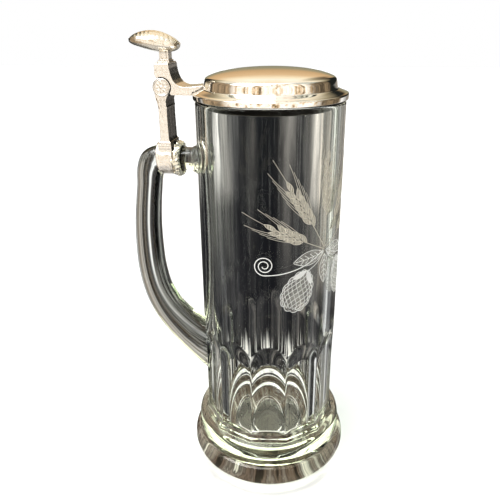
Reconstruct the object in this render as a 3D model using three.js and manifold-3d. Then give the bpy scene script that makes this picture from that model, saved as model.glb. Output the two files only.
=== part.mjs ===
// Beer stein: a tall glass mug with twelve hollow-ground panels round its lower body and a rod
// handle, closed by a hinged pewter lid. Millimetres, +Z up. The origin is the centre of the flat
// resting face, the handle points to -X, the hinge pin lies along Y and the mouth faces +Z.
// Every metal piece is its own closed solid; the glass body and its fused handle are one piece.
import * as THREE from 'three';
import { mergeVertices } from 'three/addons/utils/BufferGeometryUtils.js';
import Module from 'manifold-3d';

// ---------------------------------------------------------------- driving dimensions
// glass body
const BODY_R = 40.0;            // outer radius of the plain upper body
const BORE_R = 34.5;            // inner radius
const GLASS_TOP = 221.9;        // height of the lip
const FLOOR_Z = 14.0;           // inside floor
const FLOOR_FILLET = 13.8;      // inside corner of the floor
const FOOT_R = 48.8;            // widest radius of the foot
// panels
const PANELS = 12;              // upright panels round the lower body
const PANEL_APOTHEM = 38.44;    // axis to the middle of the line between a panel's edges
const PANEL_HOLLOW = 80;        // radius of the shallow hollow across each panel
const PANEL_PHASE = -82.2;      // degrees, direction of one panel's normal
const PANEL_LOW = 25.6;         // ledge under the panels
const PANEL_SHOULDER = 76.0;    // where each panel's round top starts
const PANEL_TOP = 91.3;         // crown of each panel's round top
const ROUND_SIDES = 5 * PANELS; // sides of every large round, five to a panel
// handle and its collar
const ARM_Z = 187.9;            // axis of the handle's top arm
const ARM_WIDTH = 12.5;         // diameter of the top arm
const COLLAR_R = 9.0;           // metal collar round the top arm
const COLLAR_GAP = 0.45;        // room between the handle and the collar
const COLLAR_TOP = 196.95;      // flat top of the collar's block, where the strap stands
// lid
const LID_RIM_R = 41.04;        // rim band
const LID_UNDER = GLASS_TOP + 0.3; // underside of the rim, just clear of the lip
const LID_RIM_TOP = 225.1;      // top edge of the rim band
const LID_WALL_R = 35.3;        // foot of the raised wall
const LID_CROWN = 237.6;        // top of the dome
const LID_SKIN = 1.6;           // metal thickness at the crown
const CENTRING_R = 33.4;        // ring under the lid that drops into the mouth
const CENTRING_BORE_R = CENTRING_R - 1.4;
const CENTRING_LOW = 217.6;
const LID_ARM_TOP = 239.4;      // flat top of the lid arm, where the thumb lever stands
// hinge
const HINGE_X = -57.3;
const HINGE_Z = 227.5;
const KNUCKLE_R = 4.9;
const KNUCKLE_CLEAR_R = KNUCKLE_R + 0.4; // space cut round the other part's knuckles
const HINGE_HALF = 7.4;         // half length of the knuckle row
const OUTER_JOINT = 4.9;        // Y of the inner faces of the strap's two end knuckles
const INNER_JOINT = 1.5;        // Y of the ends of the strap's middle knuckle
const SIDE_GAP = 0.25;          // room between knuckles
const PAST_HINGE = 9;           // Y that cuts reach, beyond the ends of the hinge
const PIN_R = 1.2;
const PIN_HOLE_R = 1.28;

// ---------------------------------------------------------------- helpers
const wasm = await Module();
wasm.setup();

// Makes a manifold, without triangles that collapse at an axis and with its faces pointing out.
function solid(geometry) {
  for (const name of Object.keys(geometry.attributes)) {
    if (name !== 'position') geometry.deleteAttribute(name);
  }
  const merged = mergeVertices(geometry, 1e-4);
  const corners = merged.index.array;
  const at = (i) => new THREE.Vector3().fromBufferAttribute(merged.attributes.position, i);
  const faces = [];
  let volume = 0;
  for (let k = 0; k < corners.length; k += 3) {
    const [a, b, c] = corners.slice(k, k + 3);
    if (a === b || b === c || c === a) continue;
    faces.push(a, b, c);
    volume += at(a).dot(at(b).cross(at(c)));
  }
  if (volume < 0) {
    for (let k = 0; k < faces.length; k += 3) {
      [faces[k], faces[k + 1]] = [faces[k + 1], faces[k]];
    }
  }
  return new wasm.Manifold(new wasm.Mesh({
    numProp: 3,
    vertProperties: new Float32Array(merged.attributes.position.array),
    triVerts: new Uint32Array(faces),
  }));
}

function toGeometry(manifold) {
  const mesh = manifold.getMesh();
  const geometry = new THREE.BufferGeometry();
  geometry.setAttribute('position', new THREE.Float32BufferAttribute(mesh.vertProperties, 3));
  geometry.setIndex(new THREE.Uint32BufferAttribute(mesh.triVerts, 1));
  geometry.computeVertexNormals();
  return geometry;
}

// A closed profile of [radius, z] turned about Z, with its seam on a line between two panels.
function lathe(profile, sides = ROUND_SIDES) {
  const geometry = new THREE.LatheGeometry(profile.map(([r, z]) => new THREE.Vector2(r, z)), sides);
  geometry.rotateX(Math.PI / 2);
  geometry.rotateZ(THREE.MathUtils.degToRad(PANEL_PHASE + 180 / PANELS + 90));
  return solid(geometry);
}

// An outline of point pairs in XY, pulled up from z = 0. Returns a geometry, still to be placed.
function extrude(outline, depth) {
  const shape = new THREE.Shape(outline.map(([x, y]) => new THREE.Vector2(x, y)));
  return new THREE.ExtrudeGeometry(shape, { depth, bevelEnabled: false });
}

// A closed outline of [x, z], stood up in the XZ plane, from y0 to y1.
function plate(outline, y0, y1) {
  const geometry = extrude(outline, y1 - y0);
  geometry.rotateX(Math.PI / 2);      // outline's second axis to Z, depth to -Y
  geometry.translate(0, y1, 0);
  return solid(geometry);
}

function box(size, centre) {
  return solid(new THREE.BoxGeometry(...size).translate(...centre));
}

// A round bar on the hinge axis, between two Y values in either order.
function hingeBar(radius, y0, y1, sides = 32) {
  const geometry = new THREE.CylinderGeometry(radius, radius, Math.abs(y1 - y0), sides);
  geometry.translate(HINGE_X, (y0 + y1) / 2, HINGE_Z);
  return solid(geometry);
}

// Points round an ellipse; the start is in steps past the first half-axis.
function ellipseRing(centre, halfAxisA, halfAxisB, sides, start = 0) {
  const ring = [];
  for (let j = 0; j < sides; j++) {
    const angle = 2 * Math.PI * (j + start) / sides;
    ring.push(centre.clone()
      .addScaledVector(halfAxisA, Math.cos(angle))
      .addScaledVector(halfAxisB, Math.sin(angle)));
  }
  return ring;
}

// A closed skin through rings of points, each ring the same length.
function loft(rings) {
  const sides = rings[0].length;
  const points = rings.flat();
  const faces = [];
  for (let k = 0; k + 1 < rings.length; k++) {
    for (let j = 0; j < sides; j++) {
      const a = k * sides + j;
      const b = k * sides + (j + 1) % sides;
      faces.push(a, b, b + sides, a, b + sides, a + sides);
    }
  }
  // each end is a fan round the ring's middle
  for (const k of [0, rings.length - 1]) {
    const middle = new THREE.Vector3();
    for (const point of rings[k]) middle.add(point);
    const m = points.push(middle.divideScalar(sides)) - 1;
    for (let j = 0; j < sides; j++) {
      const a = k * sides + j;
      const b = k * sides + (j + 1) % sides;
      faces.push(...(k === 0 ? [m, b, a] : [m, a, b]));
    }
  }
  const geometry = new THREE.BufferGeometry().setFromPoints(points);
  geometry.setIndex(faces);
  return solid(geometry);
}

// ---------------------------------------------------------------- glass body
const LIP_ROUND = 1.6;          // reach of the lip's rounded edges
const LIP_ROUND_MID = 0.5;      // inset of the point halfway round each edge
const WALL_MID_Z = 140;         // ring of points partway up the plain wall

function floorFillet() {
  const steps = 7;
  const points = [];
  for (let k = 0; k <= steps; k++) {
    const angle = -Math.PI / 2 * k / steps;
    points.push([
      BORE_R - FLOOR_FILLET + FLOOR_FILLET * Math.cos(angle),
      FLOOR_Z + FLOOR_FILLET + FLOOR_FILLET * Math.sin(angle),
    ]);
  }
  return points;
}

// [radius, z], up the outside and down the inside
const BODY_PROFILE = [
  // foot
  [0, 0], [46.6, 0], [47.6, 0.5], [48.4, 2.1], [FOOT_R, 4.6], [48.65, 7.2], [47.9, 9.6],
  [46.7, 11.1], [45.3, 11.7], [45.1, 13.6], [44.7, 16.3],
  // bulge between the foot and the panels
  [45.2, 17.6], [45.35, 20.0], [45.0, 22.6], [44.2, 24.6], [42.9, PANEL_LOW + 0.05],
  [BODY_R + 0.9, PANEL_LOW + 0.6], [BODY_R, PANEL_LOW + 1.8],
  // wall and lip
  [BODY_R, PANEL_TOP + 2], [BODY_R, WALL_MID_Z], [BODY_R, GLASS_TOP - LIP_ROUND],
  [BODY_R - LIP_ROUND_MID, GLASS_TOP - LIP_ROUND_MID], [BODY_R - LIP_ROUND, GLASS_TOP],
  [BORE_R + LIP_ROUND, GLASS_TOP], [BORE_R + LIP_ROUND_MID, GLASS_TOP - LIP_ROUND_MID],
  [BORE_R, GLASS_TOP - LIP_ROUND], [BORE_R, WALL_MID_Z],
  ...floorFillet(),
  [0, FLOOR_Z],
];

// Cuts one panel, facing -Y: upright, very slightly hollow across, with a round top.
function panelCutter() {
  const halfEdge = PANEL_APOTHEM * Math.tan(Math.PI / PANELS);
  const halfCut = halfEdge + 1.2;
  const cutOutside = -PANEL_APOTHEM - 4.6;
  const cutInside = -PANEL_APOTHEM + 2;
  const columnHeight = 80;
  const archSteps = 12;
  const hollowSteps = 4;

  const front = [[-halfCut, PANEL_LOW + 1], [halfCut, PANEL_LOW + 1]];
  for (let k = 0; k <= archSteps; k++) {
    const angle = Math.PI * k / archSteps;
    const rise = (PANEL_TOP - PANEL_SHOULDER) * Math.sin(angle);
    front.push([halfCut * Math.cos(angle), PANEL_SHOULDER + rise]);
  }

  const plan = [[-halfCut, cutOutside], [halfCut, cutOutside], [halfCut, -PANEL_APOTHEM]];
  for (let k = 0; k <= hollowSteps; k++) {
    const x = halfEdge * (1 - 2 * k / hollowSteps);
    plan.push([x, -PANEL_APOTHEM + (halfEdge * halfEdge - x * x) / (2 * PANEL_HOLLOW)]);
  }
  plan.push([-halfCut, -PANEL_APOTHEM]);

  const column = extrude(plan, columnHeight).translate(0, 0, PANEL_LOW);
  return plate(front, cutOutside, cutInside).intersect(solid(column));
}

// The twelve-sided step the panels stand on, with a hollow curve up to them.
const STEP_IN = -2.4;           // inner side, buried in the wall
const STEP_OUT = 2.25;          // outer side
const STEP_LOW = PANEL_LOW - 4;
const STEP_TOP = 31.0;          // where the hollow curve meets the panels
// [distance past the panels' apothem, z]
const STEP_PROFILE = [
  [STEP_IN, STEP_LOW], [STEP_OUT, STEP_LOW], [STEP_OUT, 27.6], [1.95, 28.05], [1.1, 28.75],
  [0.4, 29.8], [-0.05, STEP_TOP], [STEP_IN, STEP_TOP], [STEP_IN, STEP_LOW],
];
function panelStep() {
  const cornerRadius = (past) => (PANEL_APOTHEM + past) / Math.cos(Math.PI / PANELS);
  return lathe(STEP_PROFILE.map(([past, z]) => [cornerRadius(past), z]), PANELS);
}

// ---------------------------------------------------------------- glass handle
// [distance from the mug's axis, z, thickness in the handle's plane, width along Y]
const HANDLE = [
  [35.5, ARM_Z, ARM_WIDTH, ARM_WIDTH], [48.0, ARM_Z, ARM_WIDTH, ARM_WIDTH],
  [57.5, ARM_Z, ARM_WIDTH, ARM_WIDTH], [62.5, ARM_Z, 14.4, 13.2],
  [67.2, 185.6, 16.2, 14.0], [69.8, 179.8, 15.4, 13.8], [70.9, 171.5, 14.4, 13.5],
  [72.2, 162.0, 14.7, 13.8], [73.5, 149.0, 15.5, 14.2], [73.9, 135.0, 16.2, 14.6],
  [73.2, 119.0, 16.8, 15.0], [70.3, 104.5, 17.5, 15.3], [64.5, 92.0, 19.0, 15.6],
  [57.0, 82.5, 21.2, 15.9], [49.0, 74.5, 23.4, 16.2], [41.0, 67.7, 25.2, 16.6],
  [34.0, 62.2, 26.2, 17.0], [27.0, 56.8, 27.0, 17.4],
];

// The handle's rod, grown all round by the given amount.
function handleRod(extra) {
  const sides = 16;
  const steps = 34;
  const stations = HANDLE.map(([r, z]) => new THREE.Vector3(-r, 0, z));
  const path = new THREE.CatmullRomCurve3(stations, false, 'centripetal');
  const alongY = new THREE.Vector3(0, 1, 0);
  const rings = [];
  for (let k = 0; k <= steps; k++) {
    // thickness and width run evenly between stations
    const place = k / steps * (HANDLE.length - 1);
    const i = Math.min(HANDLE.length - 2, Math.floor(place));
    const size = (column) => THREE.MathUtils.lerp(
      HANDLE[i][column], HANDLE[i + 1][column], place - i);
    const inPlane = new THREE.Vector3()
      .crossVectors(path.getTangent(k / steps), alongY)
      .normalize();
    rings.push(ellipseRing(
      path.getPoint(k / steps),
      inPlane.multiplyScalar(size(2) / 2 + extra),
      alongY.clone().multiplyScalar(size(3) / 2 + extra),
      sides,
      0.5,
    ));
  }
  return loft(rings);
}

// The rod without its ends inside the mug, which stop within the wall.
function glassHandle() {
  const coreRadius = 36.4;
  const coreHeight = 240;
  const core = new THREE.CylinderGeometry(coreRadius, coreRadius, coreHeight, 40);
  core.rotateX(Math.PI / 2);
  core.translate(0, 0, coreHeight / 2);
  return handleRod(0).subtract(solid(core));
}

function glassMug() {
  let glass = lathe(BODY_PROFILE);
  const cutter = panelCutter();
  for (let k = 0; k < PANELS; k++) {
    glass = glass.subtract(cutter.rotate([0, 0, PANEL_PHASE + 90 + 360 / PANELS * k]));
  }
  return glass.add(panelStep()).add(glassHandle());
}

// ---------------------------------------------------------------- lid
// [radius, z], from the rim up over the dome, then down the inside and back to the rim
const LID_PROFILE = [
  [LID_RIM_R, LID_UNDER], [LID_RIM_R + 0.05, LID_RIM_TOP - 0.5], [LID_RIM_R - 0.35, LID_RIM_TOP],
  [LID_WALL_R + 0.5, 227.2], [LID_WALL_R, 227.7], [34.9, 229.6], [34.6, 231.6], [34.1, 232.6],
  [33.0, 233.3], [30.5, 234.25], [27.0, 235.2], [22.0, 236.15], [16.0, 236.95], [9.0, 237.4],
  [0, LID_CROWN],
  // inside
  [0, LID_CROWN - LID_SKIN], [9.0, 235.8], [16.0, 235.35], [22.0, 234.55], [27.0, 233.6],
  [30.5, 232.5], [32.4, 231.4], [32.3, 226.0], [CENTRING_BORE_R, 224.0],
  // centring ring
  [CENTRING_BORE_R, CENTRING_LOW], [CENTRING_R - 0.5, CENTRING_LOW],
  [CENTRING_R, CENTRING_LOW + 0.6], [CENTRING_R, LID_UNDER], [LID_RIM_R, LID_UNDER],
];

// A solid lid grown by a hair, [radius, z], used to trim the lid's arm.
const TRIM_GROW = 0.3;
const TRIM_R = LID_RIM_R + TRIM_GROW + 0.05;
const LID_TRIM_PROFILE = [
  [0, LID_UNDER - TRIM_GROW], [TRIM_R, LID_UNDER - TRIM_GROW], [TRIM_R, LID_RIM_TOP + 0.1],
  [LID_RIM_R, LID_RIM_TOP + TRIM_GROW], [LID_WALL_R + 0.8, 227.2 + TRIM_GROW],
  [LID_WALL_R + TRIM_GROW, 227.8], [34.9 + TRIM_GROW, 229.6], [34.6 + TRIM_GROW, 231.7],
  [34.1, 233.1], [0, 239],
];

// ---------------------------------------------------------------- hinge parts
// Clears the spans of the other part's knuckles, adds this part's own and bores for the pin.
function withKnuckles(body, clearSpans, knuckleSpans) {
  let part = body;
  for (const [y0, y1] of clearSpans) part = part.subtract(hingeBar(KNUCKLE_CLEAR_R, y0, y1));
  for (const [y0, y1] of knuckleSpans) part = part.add(hingeBar(KNUCKLE_R, y0, y1));
  return part.subtract(hingeBar(PIN_HOLE_R, -PAST_HINGE, PAST_HINGE, 24));
}

// [x, z]
const LID_ARM_OUTLINE = [
  [-33.2, 228.9], [-36.0, 228.5], [-40.5, 228.0], [-45.1, 227.75], [-47.4, 228.2],
  [-49.3, 229.3], [-50.8, 231.2], [-51.9, 233.9], [-52.6, 237.2], [-52.8, LID_ARM_TOP],
  [-60.4, LID_ARM_TOP], [-60.8, 236.0], [-60.7, 233.8], [-59.9, 232.4], [-57.3, 228.4],
  [-52.2, 223.5], [-41.0, 223.5], [-33.2, 224.5],
];
const LID_ARM_HALF = 7.8;       // half width along Y

function lidArm() {
  const outer = OUTER_JOINT - SIDE_GAP;
  const inner = INNER_JOINT + SIDE_GAP;
  return withKnuckles(
    plate(LID_ARM_OUTLINE, -LID_ARM_HALF, LID_ARM_HALF),
    [[-PAST_HINGE, -outer], [-inner, inner], [outer, PAST_HINGE]],
    [[-outer, -inner], [inner, outer]],
  ).subtract(lathe(LID_TRIM_PROFILE));
}

// [x, z]
const STRAP_OUTLINE = [
  [-55.0, 226.0], [-53.1, 224.9], [-54.6, 222.6], [-55.2, 220.5], [-55.1, 210.0],
  [-54.9, 199.6], [-54.4, 198.4], [-54.4, COLLAR_TOP], [-60.6, COLLAR_TOP], [-60.6, 198.4],
  [-60.0, 199.6], [-59.9, 216.4], [-60.35, 219.4], [-61.35, 222.4], [-61.5, 224.7],
  [-58.0, 227.5],
];

// The strap that stands on the collar and carries the hinge.
function hingeStrap() {
  return withKnuckles(
    plate(STRAP_OUTLINE, -HINGE_HALF, HINGE_HALF),
    [[-OUTER_JOINT, -INNER_JOINT], [INNER_JOINT, OUTER_JOINT]],
    [[-HINGE_HALF, -OUTER_JOINT], [-INNER_JOINT, INNER_JOINT], [OUTER_JOINT, HINGE_HALF]],
  );
}

// A low rosette on the pin's end: a disc with a raised rim and a raised eye.
// The side is -1 for the -Y end, 1 for the +Y end.
function pinCap(side) {
  const face = HINGE_HALF + 0.8;
  const grooveFloor = face - 0.35;
  const grooveOpen = face + 0.1;
  const grooveR = 3.9;
  const eyeR = 1.7;
  const eye = hingeBar(eyeR, side * (grooveFloor - 1), side * (grooveOpen + 1), 20);
  const groove = hingeBar(grooveR, side * grooveFloor, side * grooveOpen).subtract(eye);
  return hingeBar(KNUCKLE_R, side * HINGE_HALF, side * face).subtract(groove);
}

// ---------------------------------------------------------------- thumb lever
// [distance from the mug's axis, mid z, half height, half width]
const THUMB = [
  [48.35, 248.3, 0.9, 2.0], [49.2, 248.25, 2.0, 4.4], [51.0, 248.5, 3.1, 6.3],
  [54.0, 249.0, 4.2, 7.9], [58.0, 249.75, 5.05, 8.9], [62.0, 250.4, 5.15, 9.1],
  [66.0, 250.9, 4.6, 8.6], [70.0, 251.1, 3.7, 7.4], [73.0, 251.05, 2.7, 5.7],
  [74.8, 250.95, 1.7, 3.8], [75.7, 250.9, 0.7, 1.6],
];
const STEM = { x: -56.3, length: 5.2, width: 6.6, height: 8.0 };

function thumbLever() {
  const pad = loft(THUMB.map(([r, z, halfHeight, halfWidth]) => ellipseRing(
    new THREE.Vector3(-r, 0, z),
    new THREE.Vector3(0, halfWidth, 0),
    new THREE.Vector3(0, 0, halfHeight),
    20,
  )));
  const stemCentre = [STEM.x, 0, LID_ARM_TOP + STEM.height / 2];
  return pad.add(box([STEM.length, STEM.width, STEM.height], stemCentre));
}

// ---------------------------------------------------------------- collar round the handle
const SLEEVE = { mugEndX: -53.8, length: 12, sides: 36 };
const BLOCK = { x: -57.8, length: 8.0, height: 8.0 };
// [x, z], cuts the sleeve on the slant towards the handle's bend
const SLANT_OUTLINE = [[-80, 170], [-61.3, 170], [-64.6, 205], [-80, 205]];

// A sleeve along the arm, with an upright block, flat on top, that carries the strap.
function handleCollar() {
  const circle = [];
  for (let j = 0; j < SLEEVE.sides; j++) {
    const angle = 2 * Math.PI * (j + 0.5) / SLEEVE.sides;
    circle.push([COLLAR_R * Math.cos(angle), COLLAR_R * Math.sin(angle)]);
  }
  const sleeve = extrude(circle, SLEEVE.length);
  sleeve.rotateY(-Math.PI / 2);       // depth to -X
  sleeve.translate(SLEEVE.mugEndX, 0, ARM_Z);
  const block = box(
    [BLOCK.length, 2 * HINGE_HALF, BLOCK.height],
    [BLOCK.x, 0, COLLAR_TOP - BLOCK.height / 2],
  );
  return solid(sleeve)
    .add(block)
    .subtract(plate(SLANT_OUTLINE, -20, 20))
    .subtract(handleRod(COLLAR_GAP));
}

// ---------------------------------------------------------------- materials
const glassMaterial = () => new THREE.MeshStandardMaterial({
  color: 0xe9efe6, roughness: 0.04, metalness: 0.0, transparent: true, opacity: 0.35,
});
const polished = () => new THREE.MeshStandardMaterial({
  color: 0xd6d0c4, roughness: 0.16, metalness: 1.0,
});
const castMetal = () => new THREE.MeshStandardMaterial({
  color: 0xcfcac0, roughness: 0.36, metalness: 1.0,
});

// ---------------------------------------------------------------- the stein
const stein = new THREE.Group();
stein.name = 'stein';

function add(name, manifold, material) {
  const mesh = new THREE.Mesh(toGeometry(manifold), material);
  mesh.name = name;
  stein.add(mesh);
}
add('glass_mug', glassMug(), glassMaterial());
add('lid_shell', lathe(LID_PROFILE), polished());
add('lid_arm', lidArm(), castMetal());
add('thumb_lever', thumbLever(), castMetal());
add('hinge_strap', hingeStrap(), castMetal());
add('handle_collar', handleCollar(), castMetal());
add('hinge_pin', hingeBar(PIN_R, -HINGE_HALF, HINGE_HALF, 24), castMetal());
add('pin_cap_near', pinCap(-1), castMetal());
add('pin_cap_far', pinCap(1), castMetal());

export default stein;
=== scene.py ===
# A glass beer stein with a hinged pewter lid, dressed round its CAD frame.
# The mug stands on z = 0 with its axis on +Z. Handle, hinge and thumb lever lie towards -X,
# the camera stands towards -Y, and the engraving is centred between +X and -Y.
# Shapes are drawn in millimetres and scaled by MM; shader, light and camera values are in metres.
import math
import bpy
import bmesh
import numpy as np
from mathutils import Vector, Matrix


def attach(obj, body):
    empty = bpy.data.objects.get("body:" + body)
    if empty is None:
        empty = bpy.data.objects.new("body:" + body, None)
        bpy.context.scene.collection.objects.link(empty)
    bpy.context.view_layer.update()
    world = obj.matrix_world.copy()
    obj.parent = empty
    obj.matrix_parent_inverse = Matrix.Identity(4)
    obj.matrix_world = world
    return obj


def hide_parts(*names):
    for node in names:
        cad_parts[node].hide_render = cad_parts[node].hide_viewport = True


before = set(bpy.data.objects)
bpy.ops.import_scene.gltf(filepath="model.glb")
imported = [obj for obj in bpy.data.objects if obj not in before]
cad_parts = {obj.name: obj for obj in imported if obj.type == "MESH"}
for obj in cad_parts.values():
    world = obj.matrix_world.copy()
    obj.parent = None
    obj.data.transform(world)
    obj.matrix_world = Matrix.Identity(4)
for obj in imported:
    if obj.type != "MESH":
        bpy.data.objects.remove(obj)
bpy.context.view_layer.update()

MM = 0.001

# ---------------------------------------------------------------- driving sizes (mm)
BODY_R = 40.0
BORE_R = 34.5
GLASS_TOP = 221.9
LIP_START = 219.6            # height at which the wall begins to round over into the lip
FLOOR_Z = 14.0
FLOOR_FILLET = 13.8
PANELS = 12
PANEL_STEP = 2 * math.pi / PANELS
APOTHEM = 38.44              # from the axis to the middle of a panel's chord plane
PANEL_PHASE = math.radians(-82.2)
PANEL_HOLLOW_R = 80.0        # the panels are very slightly hollow across
PANEL_SHOULDER = 76.0        # the arched panel tops spring from here
PANEL_TOP = 91.3
ARM_Z = 187.9                # axis of the handle's upper arm
HINGE_X, HINGE_Z = -57.3, 227.5


# ---------------------------------------------------------------- mesh helpers

def link(name, data):
    ob = bpy.data.objects.new(name, data)
    bpy.context.scene.collection.objects.link(ob)
    return ob


def smooth_shade(ob):
    ob.data.polygons.foreach_set("use_smooth", [True] * len(ob.data.polygons))
    ob.data.update()


def new_object(name, verts, faces, smooth=True):
    """Object from vertices in metres."""
    mesh = bpy.data.meshes.new(name)
    mesh.from_pydata([tuple(v) for v in verts], [], [tuple(f) for f in faces])
    mesh.validate()
    mesh.update()
    ob = link(name, mesh)
    if smooth:
        smooth_shade(ob)
    return ob


def grid_surface(name, rings, poles=None):
    """Skin over rings x columns x 3 (mm). Rings close on themselves; two poles close the ends."""
    count, columns = rings.shape[:2]
    verts = (rings.reshape(-1, 3) * MM).tolist()
    index = np.arange(count * columns).reshape(count, columns)
    ahead = np.roll(index, -1, 1)
    quads = np.stack([index[:-1], ahead[:-1], ahead[1:], index[1:]], -1)
    faces = quads.reshape(-1, 4).tolist()
    if poles is not None:
        start = len(verts)
        end = start + 1
        verts += (np.array(poles) * MM).tolist()
        faces += [[start, int(ahead[0, j]), int(index[0, j])] for j in range(columns)]
        faces += [[end, int(index[-1, j]), int(ahead[-1, j])] for j in range(columns)]
    return new_object(name, verts, faces)


def outward(ob):
    """Turns every face of a closed mesh outwards."""
    bm = bmesh.new()
    bm.from_mesh(ob.data)
    bmesh.ops.recalc_face_normals(bm, faces=bm.faces)
    if bm.calc_volume(signed=True) < 0:
        bmesh.ops.reverse_faces(bm, faces=bm.faces)
    bm.to_mesh(ob.data)
    bm.free()
    ob.data.update()


def absorb(mesh, parts):
    """Adds the meshes of the parts to mesh and removes the parts."""
    bm = bmesh.new()
    bm.from_mesh(mesh)
    for part in parts:
        bm.from_mesh(part.data)
        bpy.data.objects.remove(part)
    bm.to_mesh(mesh)
    bm.free()


def apply_modifier(ob, kind, **settings):
    modifier = ob.modifiers.new(kind.lower(), kind)
    for key, value in settings.items():
        setattr(modifier, key, value)
    graph = bpy.context.evaluated_depsgraph_get()
    mesh = bpy.data.meshes.new_from_object(ob.evaluated_get(graph))
    ob.modifiers.clear()
    old = ob.data
    ob.data = mesh
    bpy.data.meshes.remove(old)


def remesh(ob, voxel):
    apply_modifier(ob, "REMESH", mode="VOXEL", voxel_size=voxel * MM, adaptivity=0.0)


def relax(ob, rounds, factor=0.5):
    apply_modifier(ob, "SMOOTH", iterations=rounds, factor=factor)


def vertex_values(ob, what):
    values = np.zeros(len(ob.data.vertices) * 3)
    ob.data.vertices.foreach_get(what, values)
    return values.reshape(-1, 3)


def displace(ob, relief):
    """Moves vertices along their normals by relief(points, normals), in mm."""
    points, normals = vertex_values(ob, "co") / MM, vertex_values(ob, "normal")
    points = points + normals * relief(points, normals)[:, None]
    ob.data.vertices.foreach_set("co", (points * MM).ravel())
    ob.data.update()


def prism(outline, y0, y1):
    """Closed prism from an [x, z] outline."""
    n = len(outline)
    verts = [(x * MM, y * MM, z * MM) for y in (y0, y1) for x, z in outline]
    faces = [list(range(n)), list(range(2 * n - 1, n - 1, -1))]
    faces += [[i, i + n, (i + 1) % n + n, (i + 1) % n] for i in range(n)]
    ob = new_object("tmp_prism", verts, faces, smooth=False)
    outward(ob)
    return ob


def box(name, x_range, y_range, z_range):
    verts = [(x * MM, y * MM, z * MM) for x in x_range for y in y_range for z in z_range]
    faces = [(0, 1, 3, 2), (4, 6, 7, 5), (0, 4, 5, 1), (2, 3, 7, 6), (0, 2, 6, 4), (1, 5, 7, 3)]
    ob = new_object(name, verts, faces, smooth=False)
    outward(ob)
    return ob


def dress(ob, *materials):
    ob.data.materials.clear()
    for mat in materials:
        ob.data.materials.append(mat)


def register(ob, rides, replaces=None):
    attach(ob, rides)
    if replaces:
        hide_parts(replaces)


def finish_cast(ob, rides, mat, replaces=None):
    dress(ob, mat)
    smooth_shade(ob)
    register(ob, rides, replaces)


# ---------------------------------------------------------------- curves and fields

def smoothstep(start, end, x):
    t = np.clip((x - start) / (end - start), 0, 1)
    return t * t * (3 - 2 * t)


def ridge(distance, width):
    """Bell-shaped ridge of height 1."""
    return np.exp(-(distance / width) ** 2)


def with_ends(points):
    """Adds a mirrored point before the first and after the last."""
    return np.vstack([2 * points[0] - points[1], points, 2 * points[-1] - points[-2]])


def centripetal(points, steps):
    """Catmull-Rom curve, so many steps to a span; uneven spacing doesn't make it overshoot."""
    points = np.array(points, float)
    padded = with_ends(points)
    curve = []
    for i in range(len(points) - 1):
        near = padded[i:i + 4]
        t = [0.0]
        for k in range(3):
            t.append(t[-1] + np.linalg.norm(near[k + 1] - near[k]) ** .5)
        for s in np.linspace(t[1], t[2], steps, endpoint=False):
            level = near
            for reach, first in ((1, 0), (2, 0), (1, 1)):
                level = [(t[k + reach] - s) / (t[k + reach] - t[k]) * level[k - first]
                         + (s - t[k]) / (t[k + reach] - t[k]) * level[k - first + 1]
                         for k in range(first, first + len(level) - 1)]
            curve.append(level[0])
    curve.append(points[-1])
    return np.array(curve)


def resample(points, step):
    """Evenly spaced curve through [radius, z] points; a repeated point is a corner."""
    runs = [[points[0]]]
    for point in points[1:]:
        if point == runs[-1][-1]:
            runs.append([point])
        else:
            runs[-1].append(point)
    pieces = []
    for run in runs:
        dense = centripetal(run, 24)
        length = np.r_[0, np.cumsum(np.hypot(*np.diff(dense, axis=0).T))]
        count = max(1, int(round(length[-1] / step)))
        even = np.linspace(0, length[-1], count + 1)
        piece = np.stack([np.interp(even, length, dense[:, c]) for c in (0, 1)], 1)
        pieces.append(piece[1:] if pieces else piece)
    return np.vstack(pieces)


def soften(values, kernel):
    """Weighted running mean that keeps the number of values."""
    padded = np.pad(values, len(kernel) // 2, mode="edge")
    return np.convolve(padded, kernel / kernel.sum(), "valid")


def value_noise(points, scale, seed):
    """Smooth repeatable noise at points (mm), about -1 to 1."""
    random = np.random.default_rng(seed)
    total = np.zeros(len(points))
    for _ in range(6):
        wave = random.normal(size=3)
        wave *= (1 + 0.6 * random.random()) / np.linalg.norm(wave) / scale
        total += np.sin(points @ wave * 2 * np.pi + random.random() * 6.28)
    return total / 3.2


def bumps(across, z, items):
    """Highest of some soft oval bumps.
    Items: centre across, centre z, angle (deg), half length, half width, height."""
    height = np.zeros_like(across)
    for centre, centre_z, angle, half_length, half_width, top in items:
        a = math.radians(angle)
        u = (across - centre) * math.cos(a) + (z - centre_z) * math.sin(a)
        v = -(across - centre) * math.sin(a) + (z - centre_z) * math.cos(a)
        q = (u / half_length) ** 2 + (v / half_width) ** 2
        height = np.maximum(height, top * np.clip(1 - q, 0, None) ** 0.6)
    return height


# ---------------------------------------------------------------- node helpers

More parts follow.
